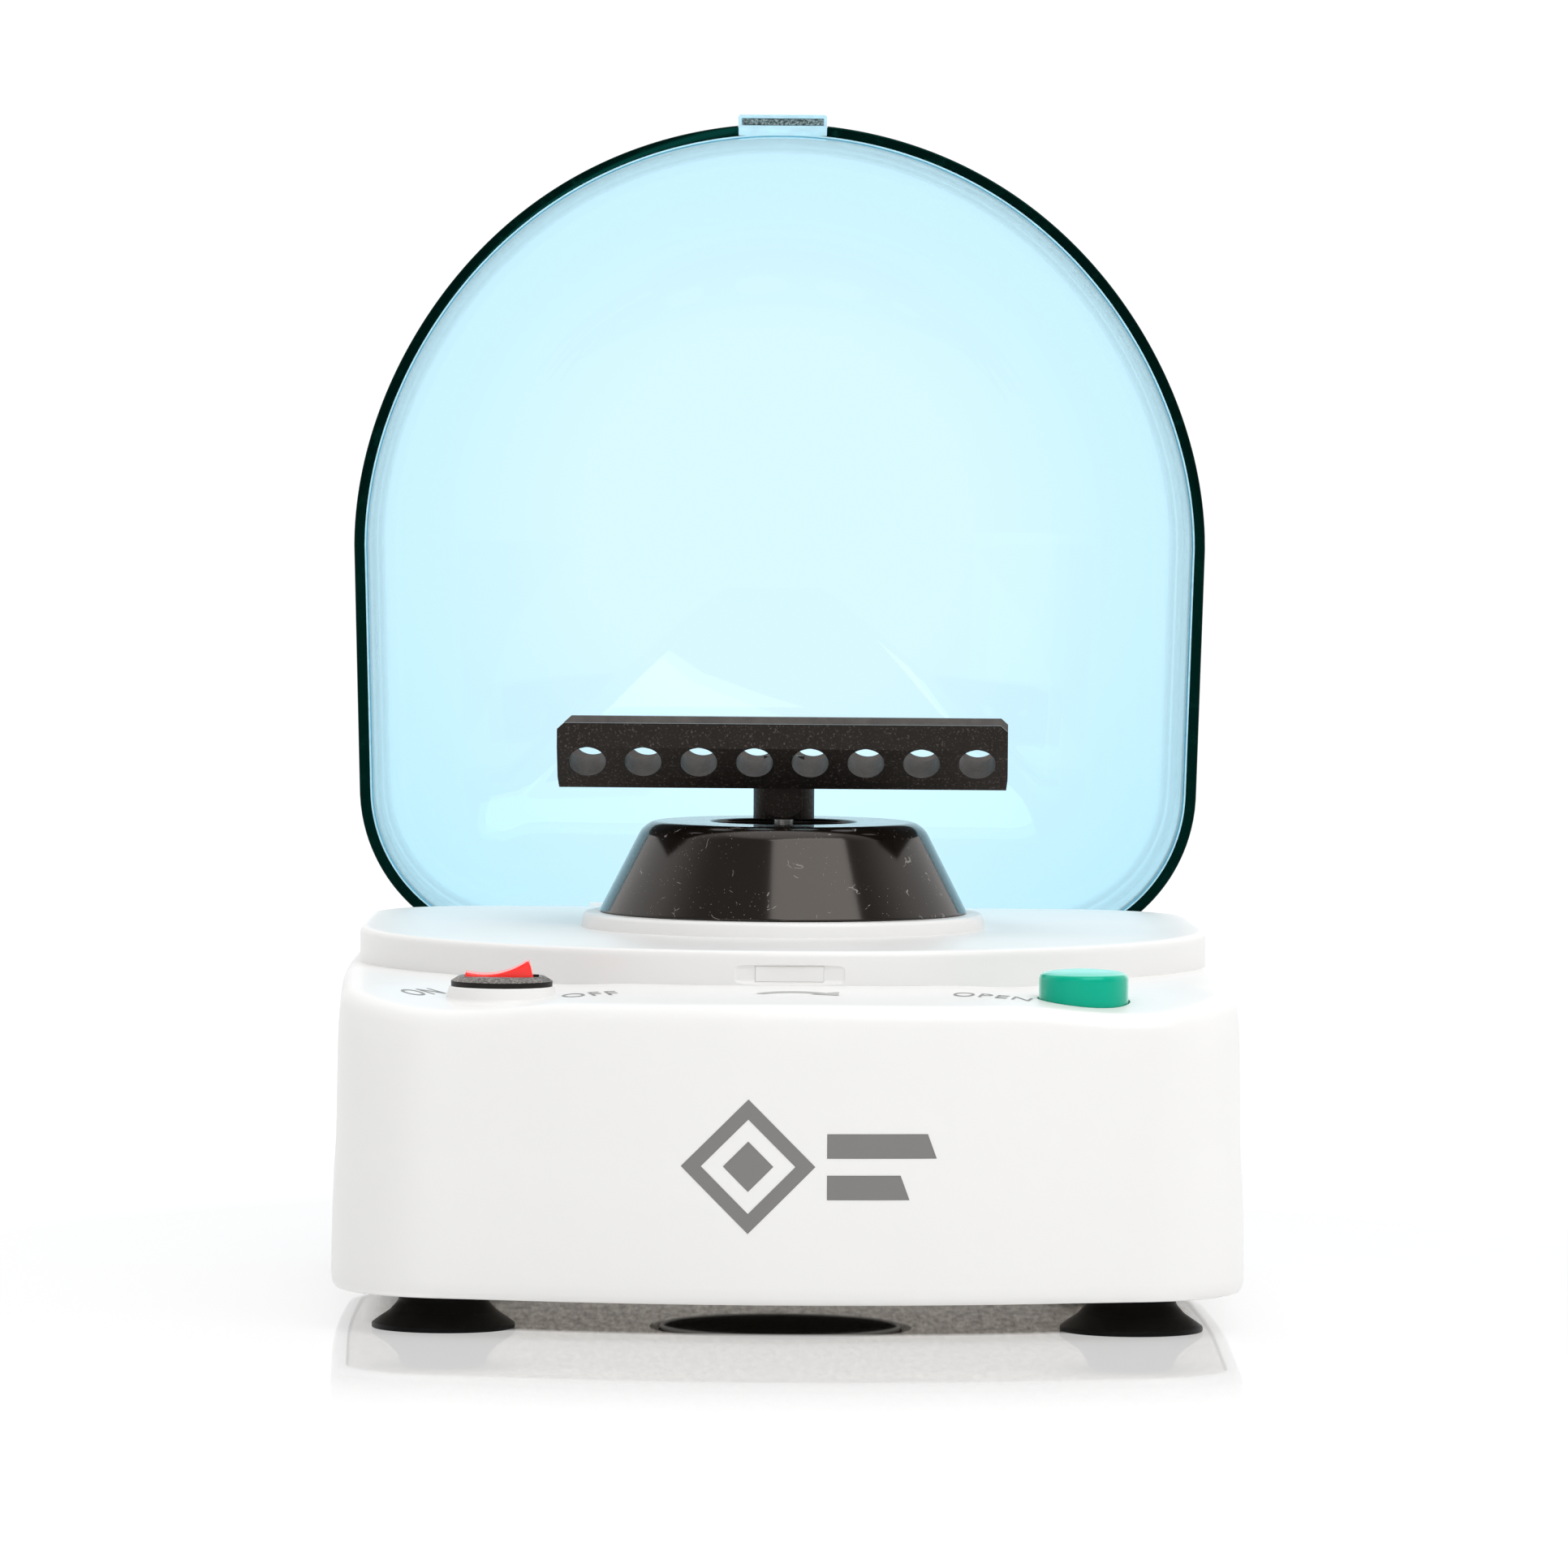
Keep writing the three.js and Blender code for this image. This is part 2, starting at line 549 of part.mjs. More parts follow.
function rotor() {
  const slope = Math.tan(TUBE_SLOPE);
  const lip = 88.9;
  const thick = 5.33;                       // plate thickness measured level
  const floor = 84.5;
  const innerAt = (z) => ROTOR_HALF_DEPTH - thick + (z - lip) * slope;
  const outerAt = (z) => ROTOR_HALF_DEPTH + (z - lip) * slope;
  const right = [[outerAt(ROTOR_BOTTOM), ROTOR_BOTTOM], [ROTOR_HALF_DEPTH, lip],
    [ROTOR_HALF_DEPTH, ROTOR_TOP], [innerAt(ROTOR_TOP), ROTOR_TOP], [innerAt(floor), floor]];
  const left = right.map(([y, z]) => [-y, z]).reverse();
  let bar = prismX([...right, ...left], -ROTOR_HALF, ROTOR_HALF);
  // the four top end corners are cut off at a slant
  const c = 1.7;
  bar = bar.intersect(prismY([[-ROTOR_HALF + 0.35, ROTOR_BOTTOM], [ROTOR_HALF - 0.35, ROTOR_BOTTOM],
    [ROTOR_HALF, 84], [ROTOR_HALF, ROTOR_TOP - 1.4], [ROTOR_HALF - c, ROTOR_TOP],
    [-ROTOR_HALF + c, ROTOR_TOP], [-ROTOR_HALF, ROTOR_TOP - 1.4], [-ROTOR_HALF, 84]], -30, 30));
  // neck with a snap tongue front and back, and a centre boss above the floor
  bar = joined(bar, drumZ(0, 0, 4.95, 77.0, 83, 32), drumZ(0, 0, 3.3, 83.5, 87.2, 24));
  for (const side of [-1, 1]) {
    const tongue = [[-3.1, 83], [-3.1, 79.2]];
    for (let i = 1; i < 8; i++) {
      const a = Math.PI + (i / 8) * Math.PI;
      tongue.push([3.1 * Math.cos(a), 79.2 + 1.9 * Math.sin(a)]);
    }
    tongue.push([3.1, 79.2], [3.1, 83]);
    bar = bar.add(prismY(tongue, Math.min(side * 3, side * 5.15), Math.max(side * 3, side * 5.15)));
  }
  const holes = [drumZ(0, 0, SHAFT_R + 0.05, 76, 85.9, 20)];
  const reach = 14;
  for (const side of [-1, 1]) {
    for (let i = 0; i < 8; i++) {
      const g = new THREE.CylinderGeometry(HOLE_R + 0.2, HOLE_R - 0.05, reach, 14);
      // the wide end faces inward and up, the narrow end outward and down
      g.rotateX(side > 0 ? Math.PI - TUBE_SLOPE : TUBE_SLOPE);
      g.translate((i - 3.5) * HOLE_PITCH, side * 13.05, 87.9);
      holes.push(solid(g));
    }
  }
  return cut(bar, ...holes);
}

// ---------------------------------------------------------------- lid
const LID_PROFILE = [[0, LID_RIM_Z], [0.7, 72], [2.0, 85], [4.4, 94.5], [8.4, 102], [14.4, 108],
  [23, 112.2]];
function lid() {
  const skinRings = (extra, drop, start) => {
    const rings = LID_PROFILE.map(([d, z], i) => (
      dRing(LID, d + extra, i === 0 ? start : z - drop * Math.min(i / 5, 1), DECK_STEPS)));
    const last = rings[rings.length - 1];
    for (const [k, z] of [[0.55, LID_TOP_Z - 0.6], [0.2, LID_TOP_Z]]) {
      rings.push(last.map(([x, y]) => [x * k, y * k, z - drop]));
    }
    return stacked(rings);
  };
  let dome = skinRings(0, 0, LID_RIM_Z);
  // catch pad at the front edge
  dome = dome.add(prismZ([[-7.45, -66], [-7.45, -71.6], [-6.9, -72.3], [6.9, -72.3], [7.45, -71.6],
    [7.45, -66]], LID_RIM_Z, 59.5));
  dome = dome.subtract(skinRings(LID_WALL, LID_WALL, LID_RIM_Z - 2));
  // hinge ears inside the back wall
  for (const side of [-1, 1]) {
    const [x0, x1] = side > 0 ? [20.4, 26.0] : [-26.0, -20.4];
    const web = prismX([[HINGE_Y, 54.6], [66.4, 54.6], [66.4, 59.4], [HINGE_Y, 59.4]], x0, x1);
    dome = dome.add(web.add(drumX(HINGE_Y, HINGE_Z, 2.4, x0, x1, 20)));
  }
  const holes = [drumX(HINGE_Y, HINGE_Z, PIN_R + 0.08, -40, 40, 24)];
  // notches that let the shell's hinge posts through when the lid stands open
  for (const side of [-1, 1]) {
    const [x0, x1] = side > 0 ? [26.1, 31.9] : [-31.9, -26.1];
    holes.push(box(x0, x1, 65.2, 69, 53, 61.0));
  }
  // recess for the latch nose
  holes.push(box(-6.5, 6.5, -70.7, -66, 54.95, 57.0));
  return cut(dome, ...holes);
}

function torsionSpring(side) {
  const coil = coilPoints(3, 8, (c, s, t) => new THREE.Vector3(
    side * (14.4 + 3.4 * t), HINGE_Y + 1.9 * c, HINGE_Z + 1.9 * s));
  const lead = [new THREE.Vector3(side * 14.4, HINGE_Y + 1.9, HINGE_Z - 1.8)];
  const end = coil[coil.length - 1];
  const tail = [new THREE.Vector3(end.x + side * 0.2, end.y + 0.05, end.z + 2.4),
    new THREE.Vector3(end.x + side * 0.2, end.y + 0.05, end.z + 7)];
  return wire([...lead, ...coil, ...tail], 0.3, 36, 4);
}

// ---------------------------------------------------------------- controls
function switchBezel() {
  const body = turned([[0, 38.5], [6.9, 38.5], [7.2, 39], [7.2, 54.45], [7.8, 54.45], [7.8, 55.2],
    [7.4, BEZEL_TOP], [0, BEZEL_TOP]], 32, SWITCH_X, CONTROL_Y);
  const window = box(SWITCH_X - 5.8, SWITCH_X + 5.8, CONTROL_Y - 3.4, CONTROL_Y + 3.4, 47.5, 57);
  return body.subtract(window);
}
function rocker() {
  const top = [];
  for (let i = 0; i <= 8; i++) {
    const u = -5.0 + (10 * i) / 8;
    top.push([u, 4.2 - 1.15 * (1 - (u / 5) ** 2)]);
  }
  const outline = [[5.2, 3.2], [5.3, 0.6], [4.4, -1.6], [1.2, -3.4], [-1.2, -3.4], [-4.4, -1.6],
    [-5.3, 0.6], [-5.2, 3.2]];
  return prismY([...top, ...outline], -3.1, 3.1);
}
function terminal(x) {
  return box(x - 0.4, x + 0.4, CONTROL_Y - 2.4, CONTROL_Y + 2.4, 30, 38.2);
}
function openButton() {
  const cap = turned([[5.3, 47.7], [BUTTON_R, 47.7], [BUTTON_R, BUTTON_TOP - 1.0],
    [BUTTON_R - 0.3, BUTTON_TOP - 0.3], [BUTTON_R - 1.0, BUTTON_TOP], [2.5, BUTTON_TOP - 0.35],
    [0, BUTTON_TOP - 0.4], [0, 54.6], [5.3, 54.6]], 28, BUTTON_X, CONTROL_Y);
  // cam leg: its slanted foot drives the latch slide backwards
  const leg = prismX([[-71.0, 50], [-71.0, 38.7], [-68.9 - CAM_SLOPE * 3.3, 38.7], [-68.9, 42.0],
    [-68.9, 50]], BUTTON_X - 2.4, BUTTON_X + 2.4);
  return cap.add(leg);
}
function buttonSpring() {
  return wire(coilPoints(4, 8, (c, s, t) => new THREE.Vector3(
    BUTTON_X + 3.6 * c, CONTROL_Y + 3.6 * s, 44.95 + 9.0 * t)), 0.4, 36, 4);
}
function latchSlide() {
  const face = (z) => -68.9 + CAM_SLOPE * (z - 42) + 0.36;
  const pad = prismX([[face(37), 37], [-62, 37], [-62, 41.2], [face(41.2), 41.2]],
    BUTTON_X - 2.4, BUTTON_X + 2.4);
  const bar = box(-8.8, BUTTON_X + 2.4, -64.9, -62, 37, 41.2);
  const plate = box(-8.8, 8.8, -64.9, -63.0, 37, 56.6);
  const block = box(-8.8, 8.8, -67.4, -64, 54.3, 56.7);
  const nose = prismX([[-67, 55.2], [-70.2, 55.2], [-70.2, 55.6], [-69.2, 56.7], [-67, 56.7]], -6, 6);
  const seat = drumY(0, 52.6, 1.1, -64, -61.2, 10);
  return joined(pad, bar, plate, block, nose, seat);
}
function latchSpring() {
  return wire(coilPoints(4, 8, (c, s, t) => new THREE.Vector3(
    1.75 * c, -62.5 + 7.3 * t, 52.6 + 1.75 * s)), 0.3, 36, 4);
}
function lidSensor() {
  return joined(box(-24, -10.4, -66, -59.5, 38, 46), box(-22.5, -21.7, -64, -61.5, 32, 39),
    box(-17.6, -16.8, -64, -61.5, 32, 39), box(-12.7, -11.9, -64, -61.5, 32, 39));
}

// ---------------------------------------------------------------- electrics
function powerInlet() {
  const profile = (r, y0, y1) => drumY(INLET_X, INLET_Z, r, y0, y1, 24);
  const back = 72.6;
  const shellPart = joined(profile(5.5, 60, back + 0.5), profile(7.4, back + 0.25, back + 1.5));
  return shellPart.subtract(profile(3.2, 64, back + 3)).add(profile(1.0, 63, back - 0.5));
}
function inletNut() {
  const hex = circle(INLET_X, INLET_Z, 8.0, 6);
  return cut(prismY(hex, 66.2, 68.6), drumY(INLET_X, INLET_Z, 5.6, 60, 70, 24));
}
function circuitBoard() {
  return joined(box(-64, -29, -15, 19, 15.0, 16.6), box(-58, -46, -8, 4, 16.5, 19.5),
    drumZ(-38, 8, 4, 16.5, 27, 16), box(-42, -34, -12, -4, 16.5, 22), box(-60, -52, 8, 16, 16.5, 24));
}

// ---------------------------------------------------------------- assembly
const machine = new THREE.Group();
machine.name = 'mini_centrifuge';

function add(name, shape, material, parent = machine) {
  const geometry = shape.isBufferGeometry ? shape : surface(shape);
  const mesh = new THREE.Mesh(geometry, material);
  mesh.name = name;
  parent.add(mesh);
  return mesh;
}

add('upper_housing', upperHousing(), WHITE());
add('bottom_plate', bottomPlate(), DARK_GREY());
for (const [side, x] of [['left', -FOOT_X], ['right', FOOT_X]]) {
  add(`foot_front_${side}`, suctionFoot(x, FOOT_FRONT_Y), RUBBER());
  add(`foot_rear_${side}`, suctionFoot(x, FOOT_REAR_Y), RUBBER());
}
PLATE_SCREWS.forEach(([x, y], i) => {
  add(`plate_screw_${i + 1}`, panScrew(x, y, 3.0, 6.15, 1.35, 17), ZINC());
});

add('motor_cap', motorCap(), BLACK_GLOSS());
add('motor_can', motorCan(), STEEL());
add('motor_end_bell', endBell(), BLACK_MATTE());
add('motor_bearing_boss', bearingBoss(), BLACK_GLOSS());
add('motor_magnet_left', magnet(-1), DARK_GREY());
add('motor_magnet_right', magnet(1), DARK_GREY());
add('motor_bracket', motorBracket(), ZINC());
MOTOR_POSTS.forEach(([x, y], i) => {
  add(`motor_damper_${i + 1}`, damper(x, y), RUBBER());
  add(`motor_screw_${i + 1}`, panScrew(x, y, 3.0, 44.2, 1.35, 55), ZINC());
});
add('cone_cowl', coneCowl(), BLACK_GLOSS());

// turning parts, with the rotor at rest a little off square
const spindle = new THREE.Group();
spindle.rotation.z = ROTOR_TURN;
machine.add(spindle);
add('drive_shaft', driveShaft(), STEEL(), spindle);
add('armature', armature(), BRASS(), spindle);
add('strip_rotor', rotor(), BLACK_MATTE(), spindle);

// lid group: built closed round its hinge line, then swung up to stand open
const lidSwing = new THREE.Group();
lidSwing.position.set(0, HINGE_Y, HINGE_Z);
lidSwing.rotation.x = -Math.PI / 2;
machine.add(lidSwing);
const lidPlace = new THREE.Group();
lidPlace.position.set(0, -HINGE_Y, -HINGE_Z);
lidSwing.add(lidPlace);
add('clear_lid', lid(), skin(0x9fdcf2, 0.05, 0, 0.45), lidPlace);
add('lid_spring_left', torsionSpring(-1), STEEL(), lidPlace);
add('lid_spring_right', torsionSpring(1), STEEL(), lidPlace);
add('hinge_pin', drumX(HINGE_Y, HINGE_Z, PIN_R, -33.5, 33.5, 24), STEEL());

add('switch_bezel', switchBezel(), BLACK_MATTE());
const rockerPlace = new THREE.Group();
rockerPlace.position.set(SWITCH_X, CONTROL_Y, ROCKER_PIVOT_Z);
rockerPlace.rotation.y = -ROCKER_TILT;
machine.add(rockerPlace);
add('power_rocker', rocker(), skin(0xd8281c, 0.22), rockerPlace);
add('switch_terminal_live', terminal(SWITCH_X - 3.6), BRASS());
add('switch_terminal_load', terminal(SWITCH_X + 3.6), BRASS());
add('open_button', openButton(), skin(0x00a383, 0.35));
add('button_spring', buttonSpring(), STEEL());
add('latch_slide', latchSlide(), WHITE());
add('latch_spring', latchSpring(), STEEL());
add('lid_sensor', lidSensor(), BLACK_MATTE());

add('power_inlet', powerInlet(), BLACK_MATTE());
add('inlet_nut', inletNut(), ZINC());
add('circuit_board', circuitBoard(), skin(0x1f6b3c, 0.5));

// the origin is the middle of the footprint with the lid open
const OPEN_REAR_Y = HINGE_Y + (LID_TOP_Z - HINGE_Z);
machine.position.y = -(OPEN_REAR_Y + BODY_FRONT_Y) / 2;

const scene = new THREE.Group();
scene.name = 'centrifuge';
scene.add(machine);

export default scene;
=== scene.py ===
from contextlib import contextmanager
from math import acos, atan2, cos, hypot, pi, radians, sin, tan

import bmesh
import bpy
import numpy as np
from mathutils import Matrix, Vector
from mathutils.bvhtree import BVHTree


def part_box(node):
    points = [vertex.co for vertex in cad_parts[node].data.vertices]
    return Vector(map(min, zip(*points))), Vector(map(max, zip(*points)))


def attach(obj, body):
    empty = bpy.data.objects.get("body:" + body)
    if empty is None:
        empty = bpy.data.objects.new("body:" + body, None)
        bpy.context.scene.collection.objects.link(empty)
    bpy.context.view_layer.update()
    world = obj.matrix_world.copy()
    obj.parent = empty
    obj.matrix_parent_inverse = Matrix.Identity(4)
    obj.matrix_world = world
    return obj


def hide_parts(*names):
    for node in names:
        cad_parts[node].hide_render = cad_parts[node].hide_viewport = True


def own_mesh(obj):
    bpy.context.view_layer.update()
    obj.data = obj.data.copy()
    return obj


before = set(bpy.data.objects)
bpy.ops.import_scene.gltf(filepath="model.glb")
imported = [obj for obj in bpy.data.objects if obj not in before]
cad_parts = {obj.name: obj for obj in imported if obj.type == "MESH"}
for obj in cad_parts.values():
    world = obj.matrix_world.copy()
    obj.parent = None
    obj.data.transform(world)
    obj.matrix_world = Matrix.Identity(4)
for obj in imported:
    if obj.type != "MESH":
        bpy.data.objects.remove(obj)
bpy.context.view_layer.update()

# Sizes of the object are in millimetres about the drive axis, as in the CAD: x = 0, y = 0 is
# the axis. Materials, the floor and the lamps are in metres in the row frame.
MM = 0.001
SHAFT_LOW, SHAFT_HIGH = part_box("drive_shaft")
AXIS_Y = (SHAFT_LOW.y + SHAFT_HIGH.y) / 2

WALL = 2.4
BODY_CENTRE_Y = -12.0
DECK_TOP = 59.3
RING_R, RING_TOP = 32.5, 61.7
FRONT_SLIM = 0.013
MOTOR_HOLE_R = 25.9
CONE_BASE_R, CONE_BASE_Z, CONE_TOP_Z, CONE_MOUTH_R = 30.0, 61.75, 76.5, 11.8
HINGE_Y, HINGE_Z, PIN_R = 63.0, 57.0, 1.2
LID_RIM_Z, LID_TOP_Z, LID_WALL = 54.2, 116.5, 2.25
ROTOR_HALF, ROTOR_TOP, ROTOR_BOTTOM, ROTOR_HALF_DEPTH = 36.4, 92.9, 82.3, 16.5
TUBE_PITCH, TUBE_SLOPE = 9, radians(38)
ROTOR_TURN = radians(-2.1)
SHAFT_R = 1.55
SWITCH_X, CONTROL_Y, BEZEL_TOP = -45.1, -75.0, 55.6
ROCKER_TILT, ROCKER_PIVOT_Z = radians(10.6), 53.1
BUTTON_X, BUTTON_R, BUTTON_TOP = 45.9, 7.0, 56.8
FOOT_X, FOOT_FRONT_Y, FOOT_REAR_Y, FOOT_LIP_R = 54.0, -70.0, 50.0, 11.25
INLET_X, INLET_Z = -44.0, 25.0
LATCH_HALF = 5.4
PLATE_SCREWS = [(-61, -38), (61, -38), (-58, 26), (58, 26)]
BODY_CORNERS = [(0, -102.8, 149.5), (71.4, -84.5, 21), (73.0, 2, 1200), (71.2, 73, 27),
                (-71.2, 73, 27), (-73.0, 2, 1200), (-71.4, -84.5, 21)]
DECK = dict(half=68.85, front=68.15, rear_y=59.4, rear_half=67.1, rear_r=22)
LID = dict(half=71.5, front=70.8, rear_y=68, rear_half=69.6, rear_r=27)
# heights of two lines round the shell, as (degrees from the front, height)
SHOULDER = [(0, 52.7), (20, 52.5), (32, 51.1), (46, 53.5), (64, 53.7), (118, 53.4), (135, 50.4)]
LEDGE = [(0, 53.9), (20, 53.8), (32, 53.3), (46, 53.8), (118, 53.4), (135, 50.4)]


def link(name, data):
    """A new object in the scene."""
    ob = bpy.data.objects.new(name, data)
    bpy.context.scene.collection.objects.link(ob)
    return ob


def shift(x, y, z):
    return Matrix.Translation((x, y, z))


def turn(angle, axis):
    return Matrix.Rotation(angle, 4, axis)


def place(ob, matrix):
    ob.data.transform(matrix)
    return ob


# ---- camera
CAMERA_DISTANCE, CAMERA_HEIGHT = 1850.0, 163.4
CAMERA_AZIMUTH, CAMERA_PITCH, CAMERA_ROLL = radians(-0.92), radians(2.5018), radians(0.40)
CAMERA_SENSOR, CAMERA_LENS = 36.0, 261.1


def make_camera():
    data = bpy.data.cameras.new("camera")
    data.sensor_width, data.lens = CAMERA_SENSOR, CAMERA_LENS
    data.clip_start, data.clip_end = 0.05, 60.0
    camera = link("camera", data)
    camera.location = (CAMERA_DISTANCE * MM * sin(CAMERA_AZIMUTH),
                       AXIS_Y - CAMERA_DISTANCE * MM * cos(CAMERA_AZIMUTH), CAMERA_HEIGHT * MM)
    facing = turn(CAMERA_AZIMUTH, "Z") @ turn(pi / 2 - CAMERA_PITCH, "X") @ turn(CAMERA_ROLL, "Z")
    camera.rotation_euler = facing.to_euler()
    bpy.context.scene.camera = camera


make_camera()


# ---- outlines
OUTLINE_STEPS, FRONT_STEPS, CORNER_STEPS = 300, 160, 40
CROWDING = 0.125                 # how strongly points gather at the corners


def unit(v):
    return v / np.linalg.norm(v)


def half_angle(a, b):
    return acos(max(-1.0, min(1.0, float(a @ b)))) / 2


def rounded(corners):
    """A closed polygon of (x, y, r) corners with every corner rounded."""
    path, n = [], len(corners)
    for i, (x, y, r) in enumerate(corners):
        p = np.array([x, y], float)
        a, b = unit(corners[i - 1][:2] - p), unit(corners[(i + 1) % n][:2] - p)
        half = half_angle(a, b)
        centre = p + unit(a + b) * (r / sin(half))
        start, stop = p + a * (r / tan(half)) - centre, p + b * (r / tan(half)) - centre
        first = atan2(start[1], start[0])
        sweep = atan2(stop[1], stop[0]) - first
        sweep = (sweep + pi) % (2 * pi) - pi
        for k in range(CORNER_STEPS + 1):
            angle = first + sweep * k / CORNER_STEPS
            path.append((centre[0] + r * cos(angle), centre[1] + r * sin(angle)))
    return np.array(path)


def inset(corners, d):
    """Every side of a counter-clockwise polygon of corners moved inward."""
    n, sides, out = len(corners), [], []
    for i, c in enumerate(corners):
        e = corners[(i + 1) % n]
        length = hypot(e[0] - c[0], e[1] - c[1])
        ux, uy = (e[0] - c[0]) / length, (e[1] - c[1]) / length
        sides.append((c[0] - uy * d, c[1] + ux * d, ux, uy))
    for i, c in enumerate(corners):
        s, t = sides[i - 1], sides[i]
        det = s[2] * t[3] - s[3] * t[2]
        k = ((t[0] - s[0]) * t[3] - (t[1] - s[1]) * t[2]) / det
        out.append((s[0] + s[2] * k, s[1] + s[3] * k, max(c[2] - d, 1.5)))
    return out


def around(path, centre_y, round_front=False):
    """Where rays from (0, centre_y) leave a closed path. They crowd together at the corners."""
    even = np.arange(OUTLINE_STEPS) / OUTLINE_STEPS * 2 * pi - pi / 2
    angle = even + CROWDING * np.sin(4 * even)
    if round_front:
        angle = np.where(np.sin(even) < 0, even, angle)
    d = np.stack([np.cos(angle), np.sin(angle)], 1)
    a = path - [0, centre_y]
    e = np.roll(path, -1, 0) - path
    det = d[:, None, 0] * e[None, :, 1] - d[:, None, 1] * e[None, :, 0]
    safe = np.where(np.abs(det) < 1e-9, 1, det)
    reach = (a[None, :, 0] * e[None, :, 1] - a[None, :, 1] * e[None, :, 0]) / safe
    along = (a[None, :, 0] * d[:, None, 1] - a[None, :, 1] * d[:, None, 0]) / safe
    good = (np.abs(det) > 1e-9) & (along >= -1e-6) & (along <= 1 + 1e-6)
    return d * np.where(good, reach, 0).max(1)[:, None] + [0, centre_y]


def line_height(stops, x, y):
    """Height along a smooth line through (degrees from the front, height) stops."""
    angle = np.degrees(np.arctan2(np.abs(x), -y))
    out = np.full(angle.shape, float(stops[-1][1]))
    for (a0, h0), (a1, h1) in reversed(list(zip(stops, stops[1:]))):
        t = np.clip((angle - a0) / (a1 - a0), 0, 1)
        out = np.where(angle <= a1, h0 + (h1 - h0) * t * t * (3 - 2 * t), out)
    return out


def with_height(flat, z):
    z = z(flat[:, 0], flat[:, 1]) if callable(z) else np.full(len(flat), float(z))
    return np.column_stack([flat, z])


def shell_ring(d, z):
    return with_height(around(rounded(inset(BODY_CORNERS, d)), BODY_CENTRE_Y), z)


def d_outline(half, front, rear_y, rear_half, rear_r, d=0.0):
    """Outline with a round front and a drawn-in back, shared by the deck and the lid."""
    a = pi + np.arange(FRONT_STEPS + 1) / FRONT_STEPS * pi
    slim = 1 - FRONT_SLIM * np.sin(pi * np.abs(np.sin(a)) ** 1.5)
    head = np.stack([(half - d) * slim * np.cos(a), (front - d) * np.sin(a)], 1)
    r, x, y = max(rear_r - d, 4), rear_half - d, rear_y - d
    tail = rounded([(half - d, 0, 0.01), (x, y, r), (-x, y, r), (-(half - d), 0, 0.01)])
    return np.vstack([head, tail[CORNER_STEPS + 1:3 * (CORNER_STEPS + 1)]])


def d_ring(spec, d, z):
    return with_height(around(d_outline(**spec, d=d), -2, True), z)


def smooth_rows(rows, per, chord=None):
    """A smooth line through rows of numbers, with no overshoot between them."""
    rows = np.array(rows, float)
    gap = np.linalg.norm(np.diff(rows if chord is None else np.array(chord, float), axis=0), axis=1)
    slope = np.diff(rows, axis=0) / gap[:, None]
    tangent = np.zeros_like(rows)
    tangent[0], tangent[-1] = slope[0], slope[-1]
    for i in range(1, len(rows) - 1):
        s0, s1, g0, g1 = slope[i - 1], slope[i], gap[i - 1], gap[i]
        same = s0 * s1 > 0
        w0, w1 = 2 * g1 + g0, g1 + 2 * g0
        both = (w0 + w1) / (w0 / np.where(same, s0, 1) + w1 / np.where(same, s1, 1))
        tangent[i] = np.where(same, both, 0)
    out = [rows[0]]
    for i, (count, h) in enumerate(zip(per, gap)):
        for k in range(1, count + 1):
            u = k / count
            out.append((2 * u**3 - 3 * u**2 + 1) * rows[i] + (u**3 - 2 * u**2 + u) * h * tangent[i]
                       + (3 * u**2 - 2 * u**3) * rows[i + 1] + (u**3 - u**2) * h * tangent[i + 1])
    return np.array(out)


# ---- solids
@contextmanager
def editing(ob, merge):
    """Opens a mesh, with points closer than merge joined, and writes it back."""
    b = bmesh.new()
    b.from_mesh(ob.data)
    bmesh.ops.remove_doubles(b, verts=b.verts, dist=merge)
    yield b
    b.to_mesh(ob.data)
    b.free()


def solid(points, faces):
    """A closed shape whose faces look outward."""
    mesh = bpy.data.meshes.new("part")
    mesh.from_pydata([tuple(map(float, p)) for p in points], [], faces)
    mesh.update()
    ob = link("part", mesh)
    with editing(ob, 1e-5) as b:
        bmesh.ops.dissolve_degenerate(b, edges=b.edges, dist=1e-6)
        bmesh.ops.recalc_face_normals(b, faces=b.faces)
        if b.calc_volume(signed=True) < 0:
            bmesh.ops.reverse_faces(b, faces=b.faces)
    return ob


def loft(rings):
    """A skin over rings of equal length, closed at both ends."""
    n, points = len(rings[0]), np.vstack(rings)
    faces = [(k * n + i, k * n + (i + 1) % n, (k + 1) * n + (i + 1) % n, (k + 1) * n + i)
             for k in range(len(rings) - 1) for i in range(n)]
    for ring in (0, len(rings) - 1):
        middle = len(points)
        points = np.vstack([points, rings[ring].mean(0)])
        faces += [(middle, ring * n + i, ring * n + (i + 1) % n) for i in range(n)]
    return solid(points, faces)


def circle(u, v, r, steps=48):
    return [(u + r * cos(2 * pi * i / steps), v + r * sin(2 * pi * i / steps)) for i in range(steps)]


def lathe(profile, steps=128, x=0.0, y=0.0):
    """A turned solid about a vertical axis, from a closed line of (radius, z)."""
    points, faces, rows = [], [], []
    for r, z in profile:
        count = 1 if r < 1e-6 else steps
        rows.append([len(points) + i % count for i in range(steps)])
        points += [(u, v, z) for u, v in (circle(x, y, r, steps) if count > 1 else [(x, y)])]
    for low, high in zip(rows, rows[1:] + rows[:1]):
        for i in range(steps):
            j = (i + 1) % steps
            corner = tuple(dict.fromkeys((low[i], low[j], high[j], high[i])))
            if len(corner) > 2:
                faces.append(corner)
    return solid(points, faces)


